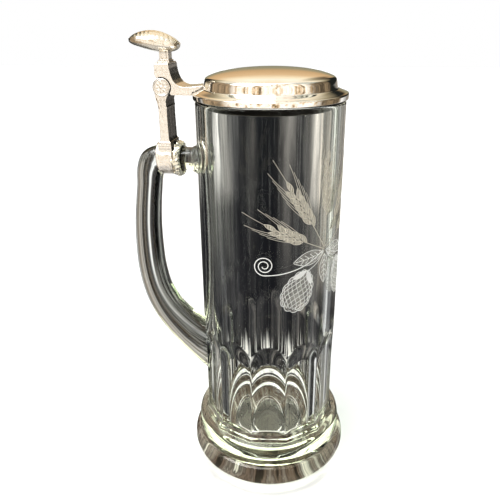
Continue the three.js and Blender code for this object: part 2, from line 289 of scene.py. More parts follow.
class Nodes:
    def __init__(self, tree, output="OutputMaterial"):
        self.tree = tree
        tree.nodes.clear()
        self.out = self.node(output)

    def node(self, kind, inputs={}):
        node = self.tree.nodes.new("ShaderNode" + kind)
        for key, value in inputs.items():
            self.set(node.inputs[key], value)
        return node

    def set(self, socket, value):
        """Links a socket or a node's first output, or sets a value; colours may be RGB."""
        if isinstance(value, bpy.types.Node):
            value = value.outputs[0]
        if isinstance(value, bpy.types.NodeSocket):
            self.tree.links.new(value, socket)
            return
        default = socket.default_value
        if hasattr(default, "__len__") and len(default) == 4 and len(value) == 3:
            value = (*value, 1)
        socket.default_value = value

    def surface(self, shader):
        self.set(self.out.inputs["Surface"], shader)

    def position(self):
        return self.node("TexCoord").outputs["Object"]

    def math(self, operation, a, b=None, clamp=False):
        node = self.node("Math")
        node.operation = operation
        node.use_clamp = clamp
        self.set(node.inputs[0], a)
        if b is not None:
            self.set(node.inputs[1], b)
        return node.outputs[0]

    def add(self, a, b):
        return self.math("ADD", a, b)

    def multiply(self, a, b):
        return self.math("MULTIPLY", a, b)

    def max(self, a, b):
        return self.math("MAXIMUM", a, b)

    def radius(self, x, y):
        return self.math("SQRT", self.add(self.math("POWER", x, 2.0), self.math("POWER", y, 2.0)))

    def separate(self, vector):
        return self.node("SeparateXYZ", {0: vector}).outputs

    def combine(self, x, y, z=0.0):
        return self.node("CombineXYZ", {0: x, 1: y, 2: z}).outputs[0]

    def step(self, start, end, value):
        """0 at start, 1 at end, smooth between; start may be the greater."""
        node = self.node("MapRange")
        node.interpolation_type = "SMOOTHSTEP"
        for key, setting in (("Value", value), ("From Min", start), ("From Max", end)):
            self.set(node.inputs[key], setting)
        return node.outputs[0]

    def noise(self, vector, scale, detail, roughness=0.5):
        return self.node("TexNoise", {"Vector": vector, "Scale": scale, "Detail": detail,
                                      "Roughness": roughness}).outputs[0]

    def bump(self, height, strength, distance):
        return self.node("Bump", {"Height": height, "Strength": strength, "Distance": distance})

    def mix(self, factor, a, b, mode="MIX"):
        node = self.node("Mix")
        node.data_type = "RGBA"
        node.blend_type = mode
        for key, value in (("Factor", factor), ("A", a), ("B", b)):
            self.set(node.inputs[key], value)
        return node.outputs["Result"]

    def tint(self, color, toward, mask, amount):
        return self.mix(self.multiply(mask, amount), color, toward)

    def mix_shader(self, factor, a, b):
        return self.node("MixShader", {0: factor, 1: a, 2: b})

    def ramp(self, value, stops):
        """Colour ramp; stops are (position, RGB)."""
        node = self.node("ValToRGB")
        elements = node.color_ramp.elements
        while len(elements) > 1:
            elements.remove(elements[-1])
        elements[0].position = stops[0][0]
        elements[0].color = (*stops[0][1], 1)
        for position, color in stops[1:]:
            elements.new(position).color = (*color, 1)
        self.set(node.inputs[0], value)
        return node.outputs[0]


def material(name):
    mat = bpy.data.materials.new(name)
    mat.use_nodes = True
    return mat, Nodes(mat.node_tree)


def times(color, factors):
    return tuple(c * f for c, f in zip(color, factors))


# ---------------------------------------------------------------- materials

# mottle, tarnish: how dark the patches and hollows go; swing: change of roughness;
# grain, lumps: shares in the bump height; bump, depth: strength and distance of the bump
CAST_FINISH = dict(mottle=0.30, tarnish=0.85, swing=0.22, grain=0.5, lumps=1.0,
                   bump=0.45, depth=0.00006)
SMOOTH_FINISH = dict(mottle=0.09, tarnish=0.5, swing=0.10, grain=0.15, lumps=0.12,
                     bump=0.12, depth=0.00002)
TARNISH = (0.16, 0.14, 0.12)
# colour of the painted shade on the strap's side towards the mug
MUG_SIDE_SHADE_COLOR = (0.06, 0.052, 0.046)


def recess_shade_and_spots(n, color, position, mottle):
    """Painted shade darkening the deeper recesses that ambient occlusion finds, and small dark
    tarnish spots.
    """
    occlusion = n.node("AmbientOcclusion", {"Distance": 0.0016})
    occlusion.samples = 6
    cells = n.node("TexVoronoi", {"Vector": position, "Scale": 1500.0})
    # painted shade: occluded recesses are darkened towards tarnish grey
    color = n.tint(color, times(TARNISH, (.5, .5, .5)),
                   mask=n.step(0.82, 0.42, occlusion.outputs["AO"]), amount=0.88)
    spots = n.multiply(n.step(0.52, 0.66, mottle), n.step(0.30, 0.10, cells))
    return n.tint(color, TARNISH, mask=spots, amount=0.55)


def turning_lines(n, position):
    """Fine rings round the mug's axis."""
    x, y, z = n.separate(position)
    rings = n.combine(n.radius(x, y), n.multiply(z, 1.0))
    return n.noise(rings, scale=3800.0, detail=2.0)


def pewter(name, base, roughness, cast=False, turned=False, mug_side_shade=False):
    finish = CAST_FINISH if cast else SMOOTH_FINISH
    mat, n = material(name)
    position = n.position()
    grain = n.noise(position, scale=2600.0, detail=3.0, roughness=0.6)
    mottle = n.noise(position, scale=420.0, detail=4.0, roughness=0.6)
    broad = n.noise(position, scale=60.0, detail=3.0)
    geometry = n.node("NewGeometry")
    # hollows darker, edges rubbed bright
    hollow = n.step(0.49, 0.40, geometry.outputs["Pointiness"])
    edge = n.step(0.515, 0.60, geometry.outputs["Pointiness"])
    color = n.tint(base, times(base, (.88, .86, .82)),
                   mask=n.step(0.35, 0.75, broad), amount=0.35)
    color = n.tint(color, times(base, (.7, .68, .63)),
                   mask=n.step(0.45, 0.8, mottle), amount=finish["mottle"])
    color = n.tint(color, TARNISH, mask=hollow, amount=finish["tarnish"])
    if cast:
        color = recess_shade_and_spots(n, color, position, mottle)
    rubbed = tuple(min(c * 1.1, limit) for c, limit in zip(base, (.97, .96, .93)))
    color = n.tint(color, rubbed, mask=edge, amount=0.6)
    if mug_side_shade:
        # painted shade: the side that faces the mug (+X) is darkened, where the mug shades it
        normal_x = n.separate(geometry.outputs["Normal"])[0]
        color = n.tint(color, MUG_SIDE_SHADE_COLOR, mask=n.step(0.45, 0.85, normal_x), amount=0.92)
    swing = n.multiply(n.math("SUBTRACT", mottle, 0.5), finish["swing"])
    rough = n.add(n.add(roughness, swing), n.multiply(hollow, 0.25))
    height = n.add(n.multiply(grain, finish["grain"]), n.multiply(mottle, finish["lumps"]))
    if turned:
        lines = turning_lines(n, position)
        height = n.add(height, n.multiply(lines, 0.35))
        color = n.tint(color, times(base, (.75, .73, .70)),
                       mask=n.step(0.45, 0.75, lines), amount=0.10)
    n.surface(n.node("BsdfPrincipled", {
        "Base Color": color, "Metallic": 1.0, "Roughness": rough,
        "Anisotropic": 0.35 if turned else 0.0,
        "Normal": n.bump(height, strength=finish["bump"], distance=finish["depth"])}))
    return mat


def glass(name, roughness):
    mat, n = material(name)
    stretched = n.node("Mapping", {"Vector": n.position(), "Scale": (1, 1, 0.25)})
    waves = n.noise(stretched, scale=90.0, detail=2.0, roughness=0.45)
    clear = n.node("BsdfPrincipled", {
        "Base Color": (1, 1, 1), "Roughness": roughness, "IOR": 1.52,
        "Transmission Weight": 1.0, "Normal": n.bump(waves, strength=0.25, distance=0.0003)})
    # light passes straight through, so that the glass casts a pale shadow
    shadow = n.node("BsdfTransparent", {"Color": (0.86, 0.88, 0.86)})
    n.surface(n.mix_shader(n.node("LightPath").outputs["Is Shadow Ray"], clear, shadow))
    n.set(n.out.inputs["Volume"],
          n.node("VolumeAbsorption", {"Color": (0.62, 0.86, 0.55), "Density": 5.0}))
    return mat


def ground_ring():
    """The underside of the foot, seen through the glass: matt, painted with radial streaks of
    reflection, near-black and brown with pale painted highlights.
    """
    mat, n = material("glass_ground_ring")
    position = n.position()
    x, y, _ = n.separate(position)
    angle = n.math("ARCTAN2", y, x)
    around = n.combine(n.math("COSINE", angle), n.math("SINE", angle),
                       n.multiply(n.add(x, y), 6.0))
    streaks = n.noise(around, scale=3.4, detail=4.0, roughness=0.6)
    # painted reflections and highlights: dark streaks and pale glints stand in for the room seen
    # through the foot
    color = n.ramp(streaks, [
        (0.30, (0.006, 0.003, 0.002)), (0.43, (0.022, 0.011, 0.008)), (0.48, (0.20, 0.14, 0.11)),
        (0.52, (0.09, 0.06, 0.05)), (0.57, (0.30, 0.25, 0.22)), (0.61, (0.10, 0.08, 0.07)),
        (0.66, (0.85, 0.80, 0.73))])
    grain = n.noise(position, scale=3000.0, detail=2.0)
    n.surface(n.node("BsdfPrincipled", {
        "Base Color": color, "Specular IOR Level": 0.2, "Roughness": 0.45,
        "Normal": n.bump(grain, strength=0.4, distance=0.00005)}))
    return mat


def frosted(name, tone, cover=1.0):
    """Cut glass. With cover below 1 clear glass shows between fine strokes of frost."""
    mat, n = material(name)
    position = n.position()
    grain = n.noise(position, scale=5200.0, detail=3.0, roughness=0.7)
    bump = n.bump(grain, strength=0.5, distance=0.00004)
    color = n.mix(n.step(0.3, 0.7, grain), times(tone, (0.88, 0.88, 0.88)), tone)
    frost = n.mix_shader(0.35, n.node("BsdfDiffuse", {"Color": color, "Normal": bump}),
                         n.node("BsdfTranslucent", {"Color": color, "Normal": bump}))
    if cover < 1:
        x, y, z = n.separate(position)
        around = n.multiply(n.math("ARCTAN2", y, x), 90.0)
        strokes = n.noise(n.combine(around, n.multiply(z, 120.0)), scale=1.0, detail=2.0)
        density = n.add(n.step(0.3, 0.7, strokes), 0.6)
        amount = n.math("MULTIPLY", density, cover, clamp=True)
        clear = n.node("BsdfTransparent", {"Color": (1, 1, 1)})
        frost = n.mix_shader(amount, clear, frost)
    n.surface(frost)
    return mat


LID_PEWTER = pewter("polished_pewter", (0.93, 0.90, 0.85), roughness=0.075, turned=True)
CAST_PEWTER = pewter("cast_pewter", (0.90, 0.88, 0.85), roughness=0.27, cast=True)
STRAP_PEWTER = pewter("cast_pewter_strap", (0.88, 0.86, 0.83), roughness=0.26, cast=True,
                      mug_side_shade=True)
CRIMP_PEWTER = pewter("cast_pewter_bright", (0.86, 0.86, 0.78), roughness=0.14, cast=True)
THUMB_PEWTER = pewter("cast_pewter_worn", (0.89, 0.86, 0.79), roughness=0.20, cast=True)
STEEL = pewter("steel_pin", (0.62, 0.62, 0.63), roughness=0.25)
BODY_GLASS = glass("glass", roughness=0.0)
HANDLE_GLASS = glass("glass_pressed", roughness=0.009)
GROUND_GLASS = ground_ring()
LID_INSIDE = pewter("pewter_inside", (0.20, 0.19, 0.17), roughness=0.35, cast=True, turned=True)
DOME_INSIDE = pewter("pewter_dome_inside", (0.55, 0.53, 0.49), roughness=0.30, cast=True,
                     turned=True)
FROST = frosted("engraving_frost", (0.98, 0.98, 0.96))
STRAW = frosted("engraving_straw", (0.80, 0.76, 0.66))
GRAIN = frosted("engraving_grain", (0.82, 0.78, 0.68), cover=0.40)
LIGHT_FROST = frosted("engraving_light_frost", (0.92, 0.92, 0.89), cover=0.11)

# ---------------------------------------------------------------- glass mug

MUG_COLUMNS = 360
UNDERSIDE_RADII = (6, 14, 22, 27, 32, 37, 42, 45, 46.2)
# radius, z: rolled foot, groove and upper bead
FOOT = [
    [46.6, 0], [47.7, 0.55], [48.45, 2.1], [48.8, 4.6], [48.62, 7.2], [47.9, 9.5],
    [46.7, 11.0], [45.6, 11.6], [45.6, 11.6],
    [45.35, 12.2], [45.15, 13.8], [44.95, 15.6], [44.9, 16.2], [44.9, 16.2],
    [45.25, 17.2], [45.35, 19.6], [45.15, 22.0], [44.6, 24.0], [43.8, 25.0], [43.1, 25.5]]
# distance outside the twelve-sided outline, z: ledge and hollow curve under the panels
PANEL_FOOT = [
    (2.75, 25.75), (2.45, 25.85), (2.3, 26.1), (2.25, 26.6), (2.22, 27.4), (2.15, 27.8),
    (1.95, 28.05), (1.6, 28.3), (1.1, 28.75), (0.65, 29.35), (0.3, 30.1), (0.08, 30.9)]
PANEL_START = 31.8
# radius, z: from the outer wall over the lip to the bore
LIP = [
    [BODY_R, LIP_START], [39.9, 220.6], [39.4, 221.45], [38.4, 221.88], [37.25, GLASS_TOP],
    [36.1, 221.88], [35.1, 221.45], [34.6, 220.6], [BORE_R, LIP_START]]
# distance inside the floor fillet, height above the floor: a low ring
FLOOR_RING = [(0.5, 0.28), (0.9, 0.42), (1.3, 0.34), (1.8, 0.12), (2.3, 0.02)]


def mug_levels(theta):
    """Yields (radius, z) from the underside, over the lip, to the floor inside."""
    off_middle = (theta - PANEL_PHASE + PANEL_STEP / 2) % PANEL_STEP - PANEL_STEP / 2
    across = APOTHEM * np.tan(off_middle)
    half_width = APOTHEM * math.tan(PANEL_STEP / 2)
    flat = APOTHEM / np.cos(off_middle)
    hollow = flat - (half_width ** 2 - across ** 2) / (2 * PANEL_HOLLOW_R)
    rise = np.sqrt(np.clip(1 - (across / (half_width + 0.6)) ** 2, 0, 1))
    arch = PANEL_SHOULDER + (PANEL_TOP - PANEL_SHOULDER) * rise

    for radius in UNDERSIDE_RADII:
        yield radius, 0.0
    yield from resample(FOOT, 0.62)
    for outside, z in PANEL_FOOT:
        yield flat + outside, z
    yield hollow, PANEL_START
    for z in np.r_[np.arange(PANEL_START + 1, 74, 1.2), np.arange(74, 94.6, 0.4)]:
        yield hollow + (BODY_R - hollow) * smoothstep(-12.5, 1.2, z - arch), z
    for z in np.arange(96, 219.5, 2.4):
        yield BODY_R, z
    yield from resample(LIP, 0.4)
    for z in np.arange(217.5, FLOOR_Z + FLOOR_FILLET + 1, -2.6):
        yield BORE_R, z
    floor_r = BORE_R - FLOOR_FILLET
    for a in np.linspace(0, math.pi / 2, 22):
        yield (floor_r + FLOOR_FILLET * math.cos(a),
               FLOOR_Z + FLOOR_FILLET - FLOOR_FILLET * math.sin(a))
    for inside, height in FLOOR_RING:
        yield floor_r - inside, FLOOR_Z + height
    for radius in np.arange(floor_r - 3.5, 1, -2.0):
        yield radius, FLOOR_Z


def build_body():
    theta = PANEL_PHASE + PANEL_STEP / 2 + np.arange(MUG_COLUMNS) * 2 * math.pi / MUG_COLUMNS
    rings = [np.stack([radius * np.cos(theta), radius * np.sin(theta),
                       np.full(MUG_COLUMNS, z)], 1) for radius, z in mug_levels(theta)]
    body = grid_surface("glass_mug_fine", np.stack(rings), poles=[(0, 0, 0), (0, 0, FLOOR_Z)])
    outward(body)
    return body


HANDLE_COLUMNS = 56
HANDLE_STEPS = 8             # sections to a span between two stations
HANDLE_SQUARENESS = 2.3      # superellipse exponent of the section; 2 is an ellipse
HANDLE_END_R = 36.3          # the handle's ends stay outside this radius, in the wall
# distance towards -X, z, thickness in the plane of the handle, width along Y
HANDLE = np.array([
    [36.2, ARM_Z, 17.6, 17.6], [38.6, ARM_Z, 17.2, 17.2], [40.2, ARM_Z, 16.2, 16.2],
    [41.4, ARM_Z, 15.2, 15.2], [42.8, ARM_Z, 13.4, 13.4], [45.0, ARM_Z, 12.5, 12.5],
    [51.0, ARM_Z, 12.5, 12.5], [57.5, ARM_Z, 12.5, 12.5], [62.5, ARM_Z, 14.4, 13.2],
    [67.2, 185.6, 16.2, 14.0], [69.8, 179.8, 15.4, 13.8], [70.9, 171.5, 14.4, 13.5],
    [72.2, 162.0, 14.7, 13.8], [73.5, 149.0, 15.5, 14.2], [73.9, 135.0, 16.2, 14.6],
    [73.2, 119.0, 16.8, 15.0], [70.3, 104.5, 17.5, 15.3], [64.5, 92.0, 19.0, 15.6],
    [57.0, 82.5, 21.2, 15.9], [49.0, 74.5, 23.4, 16.2], [41.0, 67.7, 25.4, 17.2],
    [34.0, 62.2, 26.6, 18.6], [27.0, 56.8, 27.0, 19.0]])


def push_into_wall(points):
    radius = np.hypot(points[..., 0], points[..., 1])
    grow = np.maximum(1.0, HANDLE_END_R / np.maximum(radius, 1e-6))
    points[..., :2] *= grow[..., None]
    return points


def build_handle():
    """A pressed rod, very slightly squared in section."""
    distance, height, *widths = HANDLE.T
    path = centripetal(np.stack([-distance, 0 * distance, height], 1), HANDLE_STEPS)
    station = np.arange(len(path)) / HANDLE_STEPS
    weights = np.array([1, 2, 3, 2, 1])
    thickness, width = [soften(np.interp(station, np.arange(len(HANDLE)), w), weights)
                        for w in widths]
    along = np.gradient(path, axis=0)
    along /= np.linalg.norm(along, axis=1, keepdims=True)
    side = np.array([0, 1.0, 0])
    inward = np.cross(along, side)          # towards the inside of the bend
    a = 2 * np.pi * np.arange(HANDLE_COLUMNS) / HANDLE_COLUMNS
    power = HANDLE_SQUARENESS
    reach = (np.abs(np.cos(a)) ** power + np.abs(np.sin(a)) ** power) ** (-1 / power)
    around = (inward[:, None] * (reach * np.cos(a))[None, :, None] * thickness[:, None, None] / 2
              + side * (reach * np.sin(a))[None, :, None] * width[:, None, None] / 2)
    rings = path[:, None] + around
    # pressed-glass lumps where the arm meets the body
    x = path[:, 0]
    zone = smoothstep(-44.4, -42.6, x) * smoothstep(-38.0, -39.5, x) * (path[:, 2] > 150)
    points = rings.reshape(-1, 3)
    lumps = np.abs(value_noise(points, 3.1, 61)) + 0.5 * value_noise(points, 1.9, 62) - 0.25
    lumps = lumps.reshape(rings.shape[:2])
    rings = push_into_wall(rings + around * (0.11 * zone[:, None] * lumps)[..., None])
    handle = grid_surface("glass_handle_tmp", rings,
                          poles=[push_into_wall(rings[i].mean(0)) for i in (0, -1)])
    outward(handle)
    return handle


def build_mug():
    mug = build_body()
    handle = build_handle()
    apply_modifier(mug, "BOOLEAN", operation="UNION", solver="EXACT", object=handle)
    bpy.data.objects.remove(handle)
    smooth_shade(mug)
    dress(mug, BODY_GLASS, GROUND_GLASS, HANDLE_GLASS)
    for face in mug.data.polygons:
        x, y, z = face.center / MM
        radius = math.hypot(x, y)
        if z < 0.02 and radius > 27:
            face.material_index = 1
        elif radius > 41.2 and x < -30 and z > 45:
            face.material_index = 2
    register(mug, "mug", replaces="glass_mug")


# ---------------------------------------------------------------- lid

LID_COLUMNS = 288
# radius, z: from the rim over the dome to the crown
LID_OUTSIDE = [
    [41.04, 222.35], [41.09, 222.9], [41.09, 224.55], [40.98, 224.95], [40.7, 225.12],
    [40.7, 225.12], [39.6, 225.5], [37.6, 226.35], [36.2, 226.95], [35.7, 227.15],
    [35.7, 227.15], [35.42, 227.35], [35.25, 227.9], [35.0, 229.2], [34.75, 230.7],
    [34.55, 231.55], [34.15, 232.35], [33.4, 233.0], [32.0, 233.6], [29.5, 234.5],
    [26.0, 235.4], [21.0, 236.3], [15.0, 236.98], [8.0, 237.42], [1.2, 237.6]]
# radius, z: from the middle of the dome, round the skirt inside the bore, to the rim
LID_INNER = [
    [1.2, 236.0], [8.0, 235.85], [15.0, 235.4], [21.0, 234.7], [26.0, 233.8], [30.0, 232.6],
    [31.8, 231.5], [32.3, 230.0], [32.3, 226.4], [32.1, 224.9], [32.0, 224.0], [32.0, 218.0],
    [32.15, 217.65], [32.5, 217.6], [32.9, 217.65], [33.25, 217.95], [33.4, 218.5],
    [33.4, 221.9], [33.6, 222.15], [34.0, 222.2], [34.0, 222.2], [40.7, 222.2],
    [41.0, 222.25], LID_OUTSIDE[0]]


def build_lid():
    theta = np.arange(LID_COLUMNS) * 2 * np.pi / LID_COLUMNS
    profile = np.vstack([resample(LID_INNER, 0.6)[:-1], resample(LID_OUTSIDE, 0.3)])
    radius, height = profile.T
    rings = np.stack([np.outer(radius, np.cos(theta)), np.outer(radius, np.sin(theta)),
                      np.repeat(height[:, None], LID_COLUMNS, 1)], -1)
    lid = grid_surface("lid_shell_fine", rings, poles=[(0, 0, 236.02), (0, 0, 237.61)])
    outward(lid)
    dress(lid, LID_PEWTER, LID_INSIDE, DOME_INSIDE)
    for face in lid.data.polygons:
        x, y, z = face.center / MM
        r = math.hypot(x, y)
        if z < 222.18 or (r < 33.0 and face.normal.z < 0) or (r < 32.4 and z < 231.0):
            face.material_index = 2 if r < 31.9 and z > 224.5 else 1
    register(lid, "lid", replaces="lid_shell")


# ---------------------------------------------------------------- cast pieces

CAST_VOXEL = 0.25


def build_cast(node, rides, mat, relief, rounds, extra=None):
    """Evenly meshed copy of a frame piece, rounded, with a relief on its surface."""
    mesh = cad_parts[node].data.copy()
    ob = link(node + "_fine", mesh)
    mesh.materials.clear()
    if extra:
        absorb(mesh, [extra])
    remesh(ob, CAST_VOXEL)
    relax(ob, rounds)
    displace(ob, relief)
    relax(ob, 1, 0.4)
    finish_cast(ob, rides, mat, replaces=node)


# x, z: wedge that carries the arm over the lid's rim
ARM_WEDGE = [
    [-35.0, 227.0], [-40.75, 225.0], [-40.75, 223.6], [-42.6, 223.6], [-42.6, 227.9],
    [-41.4, 227.95], [-36.2, 228.45], [-33.4, 228.75], [-33.4, 225.6]]
# distance towards -X, z of the arm's hollow top edge
ARM_TOP_EDGE = [
    (33, 228.8), (40.5, 228.0), (45.1, 227.75), (47.4, 228.2), (49.3, 229.3),
    (50.8, 231.2), (51.9, 233.9), (52.8, 239), (60, 239.4)]
# columns as in bumps
ARM_CURLS = [
    (-58.6, 236.9, 60, 2.3, 0.8, .28), (-55.2, 236.6, 118, 2.3, 0.8, .28),
    (-56.9, 234.4, 90, 1.6, 0.7, .25), (-53.6, 232.6, 120, 2.0, 0.65, .22),
    (-51.4, 228.6, 135, 2.2, 0.6, .22), (-50.2, 225.6, 160, 1.8, .6, .2),
    (-46.4, 226.2, 175, 2.4, 0.5, .16), (-42.6, 226.3, 5, 2.2, 0.45, .16)]


def arm_relief(points, normals):
    """A sunk, granulated panel with curls on each cheek, under a plain rim."""
    x, y, z = points.T
    cheek = smoothstep(0.6, 0.95, np.abs(normals[:, 1]))
    off_hinge = smoothstep(5.4, 6.0, np.hypot(x - HINGE_X, z - HINGE_Z)) * (np.abs(y) > 6)
    grain = 0.055 * value_noise(points, 0.9, 3) + 0.045 * value_noise(points, 0.55, 5)
    top_edge = np.interp(-x, *np.transpose(ARM_TOP_EDGE))
    inset = smoothstep(0.5, 0.95, top_edge - z) * smoothstep(0.4, 0.8, z - 223.5)
    return cheek * off_hinge * (-0.13 * inset + grain + bumps(x, z, ARM_CURLS))


STRAP_FOOT = [[-60.8, 198.3], [-54.2, 198.3], [-54.0, 194.2], [-61.0, 194.2]]     # x, z
STRAP_FILLETS_Z = (197.9, 196.5, 195.1)
STRAP_EDGES_X = (-59.75, -55.15)
# columns as in bumps: a leaf below the knuckle, on both cheeks
STRAP_LEAF = [
    (-57.5, 218.6, 90, 4.4, 0.75, .40), (-59.2, 220.4, 118, 2.6, 0.75, .36),
    (-55.9, 220.3, 62, 2.4, .7, .34), (-59.0, 217.4, 112, 2.2, .6, .32),
    (-56.1, 217.4, 68, 2.2, .6, .30), (-58.4, 214.6, 104, 1.8, .5, .26),
    (-56.6, 214.6, 76, 1.8, .5, .26), (-57.5, 212.4, 90, 1.8, .45, .24)]
# the same across Y, on the face away from the mug
STRAP_BACK_LEAF = [
    (0, 214, 90, 5, 1.6, .3), (-3.2, 215.5, 105, 3.6, 1.2, .26),
    (3.2, 215.5, 75, 3.6, 1.2, .26), (0, 206, 90, 3.5, 1.1, .22)]
STRAP_BEAD_PITCH = 1.9


def strap_relief(points, normals):
    x, y, z = points.T
    cheek = smoothstep(0.55, 0.95, np.abs(normals[:, 1]))
    toward_mug = smoothstep(0.55, 0.95, normals[:, 0])
    away = smoothstep(0.55, 0.95, -normals[:, 0])
    depth = np.zeros(len(points))
    for fillet_z in STRAP_FILLETS_Z:
        depth += 0.34 * ridge(z - fillet_z, 0.42) * (np.abs(normals[:, 2]) < 0.8)
    depth += cheek * bumps(x, z, STRAP_LEAF)
    # raised borders down the plain part
    edge = np.minimum(*[np.abs(x - edge_x) for edge_x in STRAP_EDGES_X])
    plain = smoothstep(199.5, 201, z) * smoothstep(213.0, 211.5, z)
    depth += cheek * 0.12 * ridge(edge, 0.35) * plain
    # the face towards the mug: a beaded block at the top, a ridge, and flutes under it
    wave = 2 * np.pi / STRAP_BEAD_PITCH
    beads = np.cos(y * wave) * np.cos((z - 219) * wave)
    depth += toward_mug * smoothstep(217.2, 217.9, z) * 0.14 * beads
    depth += toward_mug * 0.30 * ridge(z - 217.0, 0.5)
    flutes = -0.25 * smoothstep(6.2, 5.6, np.abs(y)) + 0.16 * ridge(np.abs(y) - 2.6, 0.7)
    depth += toward_mug * smoothstep(216.4, 215.8, z) * smoothstep(199.6, 200.6, z) * flutes
    depth += away * bumps(y, z, STRAP_BACK_LEAF)
    return depth + 0.035 * value_noise(points, 1.1, 11) + 0.025 * value_noise(points, 0.6, 12)


def collar_relief(points, normals):
    """Faint unevenness, and a narrow bead near each end."""
    x, y, z = points.T
    side = smoothstep(0.4, 0.8, np.hypot(normals[:, 1], normals[:, 2]))
    side = side * (np.hypot(y, z - ARM_Z) > 7.6)
    depth = 0.05 * value_noise(points, 2.6, 21) * side + 0.02 * value_noise(points, 0.8, 22)
    depth += 0.22 * side * ridge(x + 54.5, 0.45)
    # the end away from the mug is cut on a slant
    from_slant = x - (-61.3 - (z - 170) * 3.3 / 35.0)
    return depth + 0.16 * side * ridge(from_slant - 0.7, 0.5)


CRIMP_X = -52.0
CRIMP_R = 7.95
CRIMP_HALF_LENGTH, CRIMP_HALF_THICKNESS = 2.3, 1.35
CRIMP_COLUMNS, CRIMP_RINGS = 150, 36


def build_crimp():
    """Lumpy ring round the arm, at the collar's end towards the mug."""
    a = np.arange(CRIMP_COLUMNS) * 2 * np.pi / CRIMP_COLUMNS
    b = (np.arange(CRIMP_RINGS) * 2 * np.pi / CRIMP_RINGS)[:, None]
    one = np.ones(CRIMP_COLUMNS)

    def section(along, outward_part):
        return np.stack([along * one, outward_part * np.cos(a), outward_part * np.sin(a)],
                        -1).reshape(-1, 3)
    points = section(CRIMP_X + CRIMP_HALF_LENGTH * np.cos(b),
                     CRIMP_R + CRIMP_HALF_THICKNESS * np.sin(b)) + (0, 0, ARM_Z)
    normals = section(np.cos(b), np.sin(b))
    knobs = (np.maximum(0, value_noise(points, 2.9, 71))
             + 0.6 * np.abs(value_noise(points, 1.7, 72)) - 0.15)
    outer = (np.clip(0.5 + np.sin(b), 0, 1) * one).reshape(-1)
    rings = (points + normals * (0.75 * knobs * outer)[:, None])
    rings = rings.reshape(CRIMP_RINGS, CRIMP_COLUMNS, 3)
    ob = grid_surface("collar_crimp", np.concatenate([rings, rings[:1]], 0))
    # weld the last ring to the first
    bm = bmesh.new()
    bm.from_mesh(ob.data)
    bmesh.ops.remove_doubles(bm, verts=bm.verts[:], dist=1e-7)
    bm.to_mesh(ob.data)
    bm.free()
    outward(ob)
    finish_cast(ob, "mug", CRIMP_PEWTER)


CAP_COLUMNS = 144
CAP_R = 4.86
CAP_BACK_Y = 7.35            # distance of the caps' backs from the middle plane
CAP_FACE_Y = CAP_BACK_Y + 0.05
CAP_RIM_R = 4.35
CAP_EDGE = 0.25              # width of the rounded edge


def cap_height(r, theta):
    height = 0.25 + 0.42 * ridge(r - CAP_RIM_R, 0.36)
    height = height + 0.18 * ridge(r - 3.55, 0.16)              # thin ring inside the rim
    petals = np.cos(8 * theta) * 0.5 + 0.5
    height = height + 0.34 * petals ** 0.8 * ridge(r - 2.35, 0.75)
    height = height + 0.42 * math.exp(-(r / 0.85) ** 4)         # eye
    height = height + 0.05 * np.cos(28 * theta) * ridge(r - CAP_RIM_R, 0.3)     # beads
    edge_start = CAP_R - CAP_EDGE
    if r > edge_start:
        height = height * (1 - ((r - edge_start) / CAP_EDGE) ** 2 * 0.55)
    return np.minimum(height, 0.82)


def build_cap(name, side):
    """Rosette over an end of the pin: side is -1 towards the camera, 1 away from it."""
    theta = np.arange(CAP_COLUMNS) * 2 * np.pi / CAP_COLUMNS

    def ring(r, y):
        return np.stack([HINGE_X + r * np.cos(theta), side * y * np.ones(CAP_COLUMNS),
                         HINGE_Z + r * np.sin(theta)], 1)
    rings = [ring(r, CAP_FACE_Y + cap_height(r, theta))
             for r in np.r_[0.15, np.linspace(0.35, CAP_R, 44)]]
    rings += [ring(CAP_R, CAP_BACK_Y), ring(CAP_R * 0.5, CAP_BACK_Y)]
    poles = [(HINGE_X, side * y, HINGE_Z) for y in (CAP_FACE_Y + 0.66, CAP_BACK_Y)]
    ob = grid_surface(name + "_fine", np.stack(rings), poles)
    outward(ob)
    finish_cast(ob, "mug", CAST_PEWTER, replaces=name)


# ---------------------------------------------------------------- thumb lever

# distance towards -X, middle z, half height, half width
THUMB = np.array([
    [48.3, 248.3, 0.35, 0.6], [48.6, 248.3, 1.2, 2.6], [49.4, 248.3, 2.15, 4.6],
    [51.0, 248.5, 3.1, 6.3], [54.0, 249.0, 4.2, 7.9], [58.0, 249.75, 5.05, 8.9],
    [62.0, 250.4, 5.15, 9.1], [66.0, 250.9, 4.6, 8.6], [70.0, 251.1, 3.7, 7.4],
    [73.0, 251.05, 2.7, 5.7], [74.8, 250.95, 1.7, 3.8], [75.5, 250.9, 0.9, 2.2],
    [75.75, 250.9, 0.3, 0.7]])
THUMB_RINGS, THUMB_COLUMNS = 150, 128
# x, y and z ranges: post, its foot, and the ledge under it
STEM_BOXES = [
    ("tmp_stem", (-58.9, -53.8), (-3.1, 3.1), (239.0, 247.2)),
    ("tmp_stem2", (-59.5, -53.3), (-4.0, 4.0), (239.6, 241.0)),
    ("tmp_base", (-60.3, -52.9), (-7.2, 7.2), (239.15, 239.95))]


def thumb_stations():
    """Distance, middle z, half height and half width, crowded so that both ends are round."""
    ease = (1 - np.cos(np.linspace(0.02, np.pi - 0.02, THUMB_RINGS))) / 2
    start, end = THUMB[0, 0], THUMB[-1, 0]
    distance = start + ease * (end - start)
    kernel = np.hanning(15)[1:-1]
    return distance, *[soften(np.interp(distance, THUMB[:, 0], THUMB[:, c]), kernel)
                       for c in (1, 2, 3)]


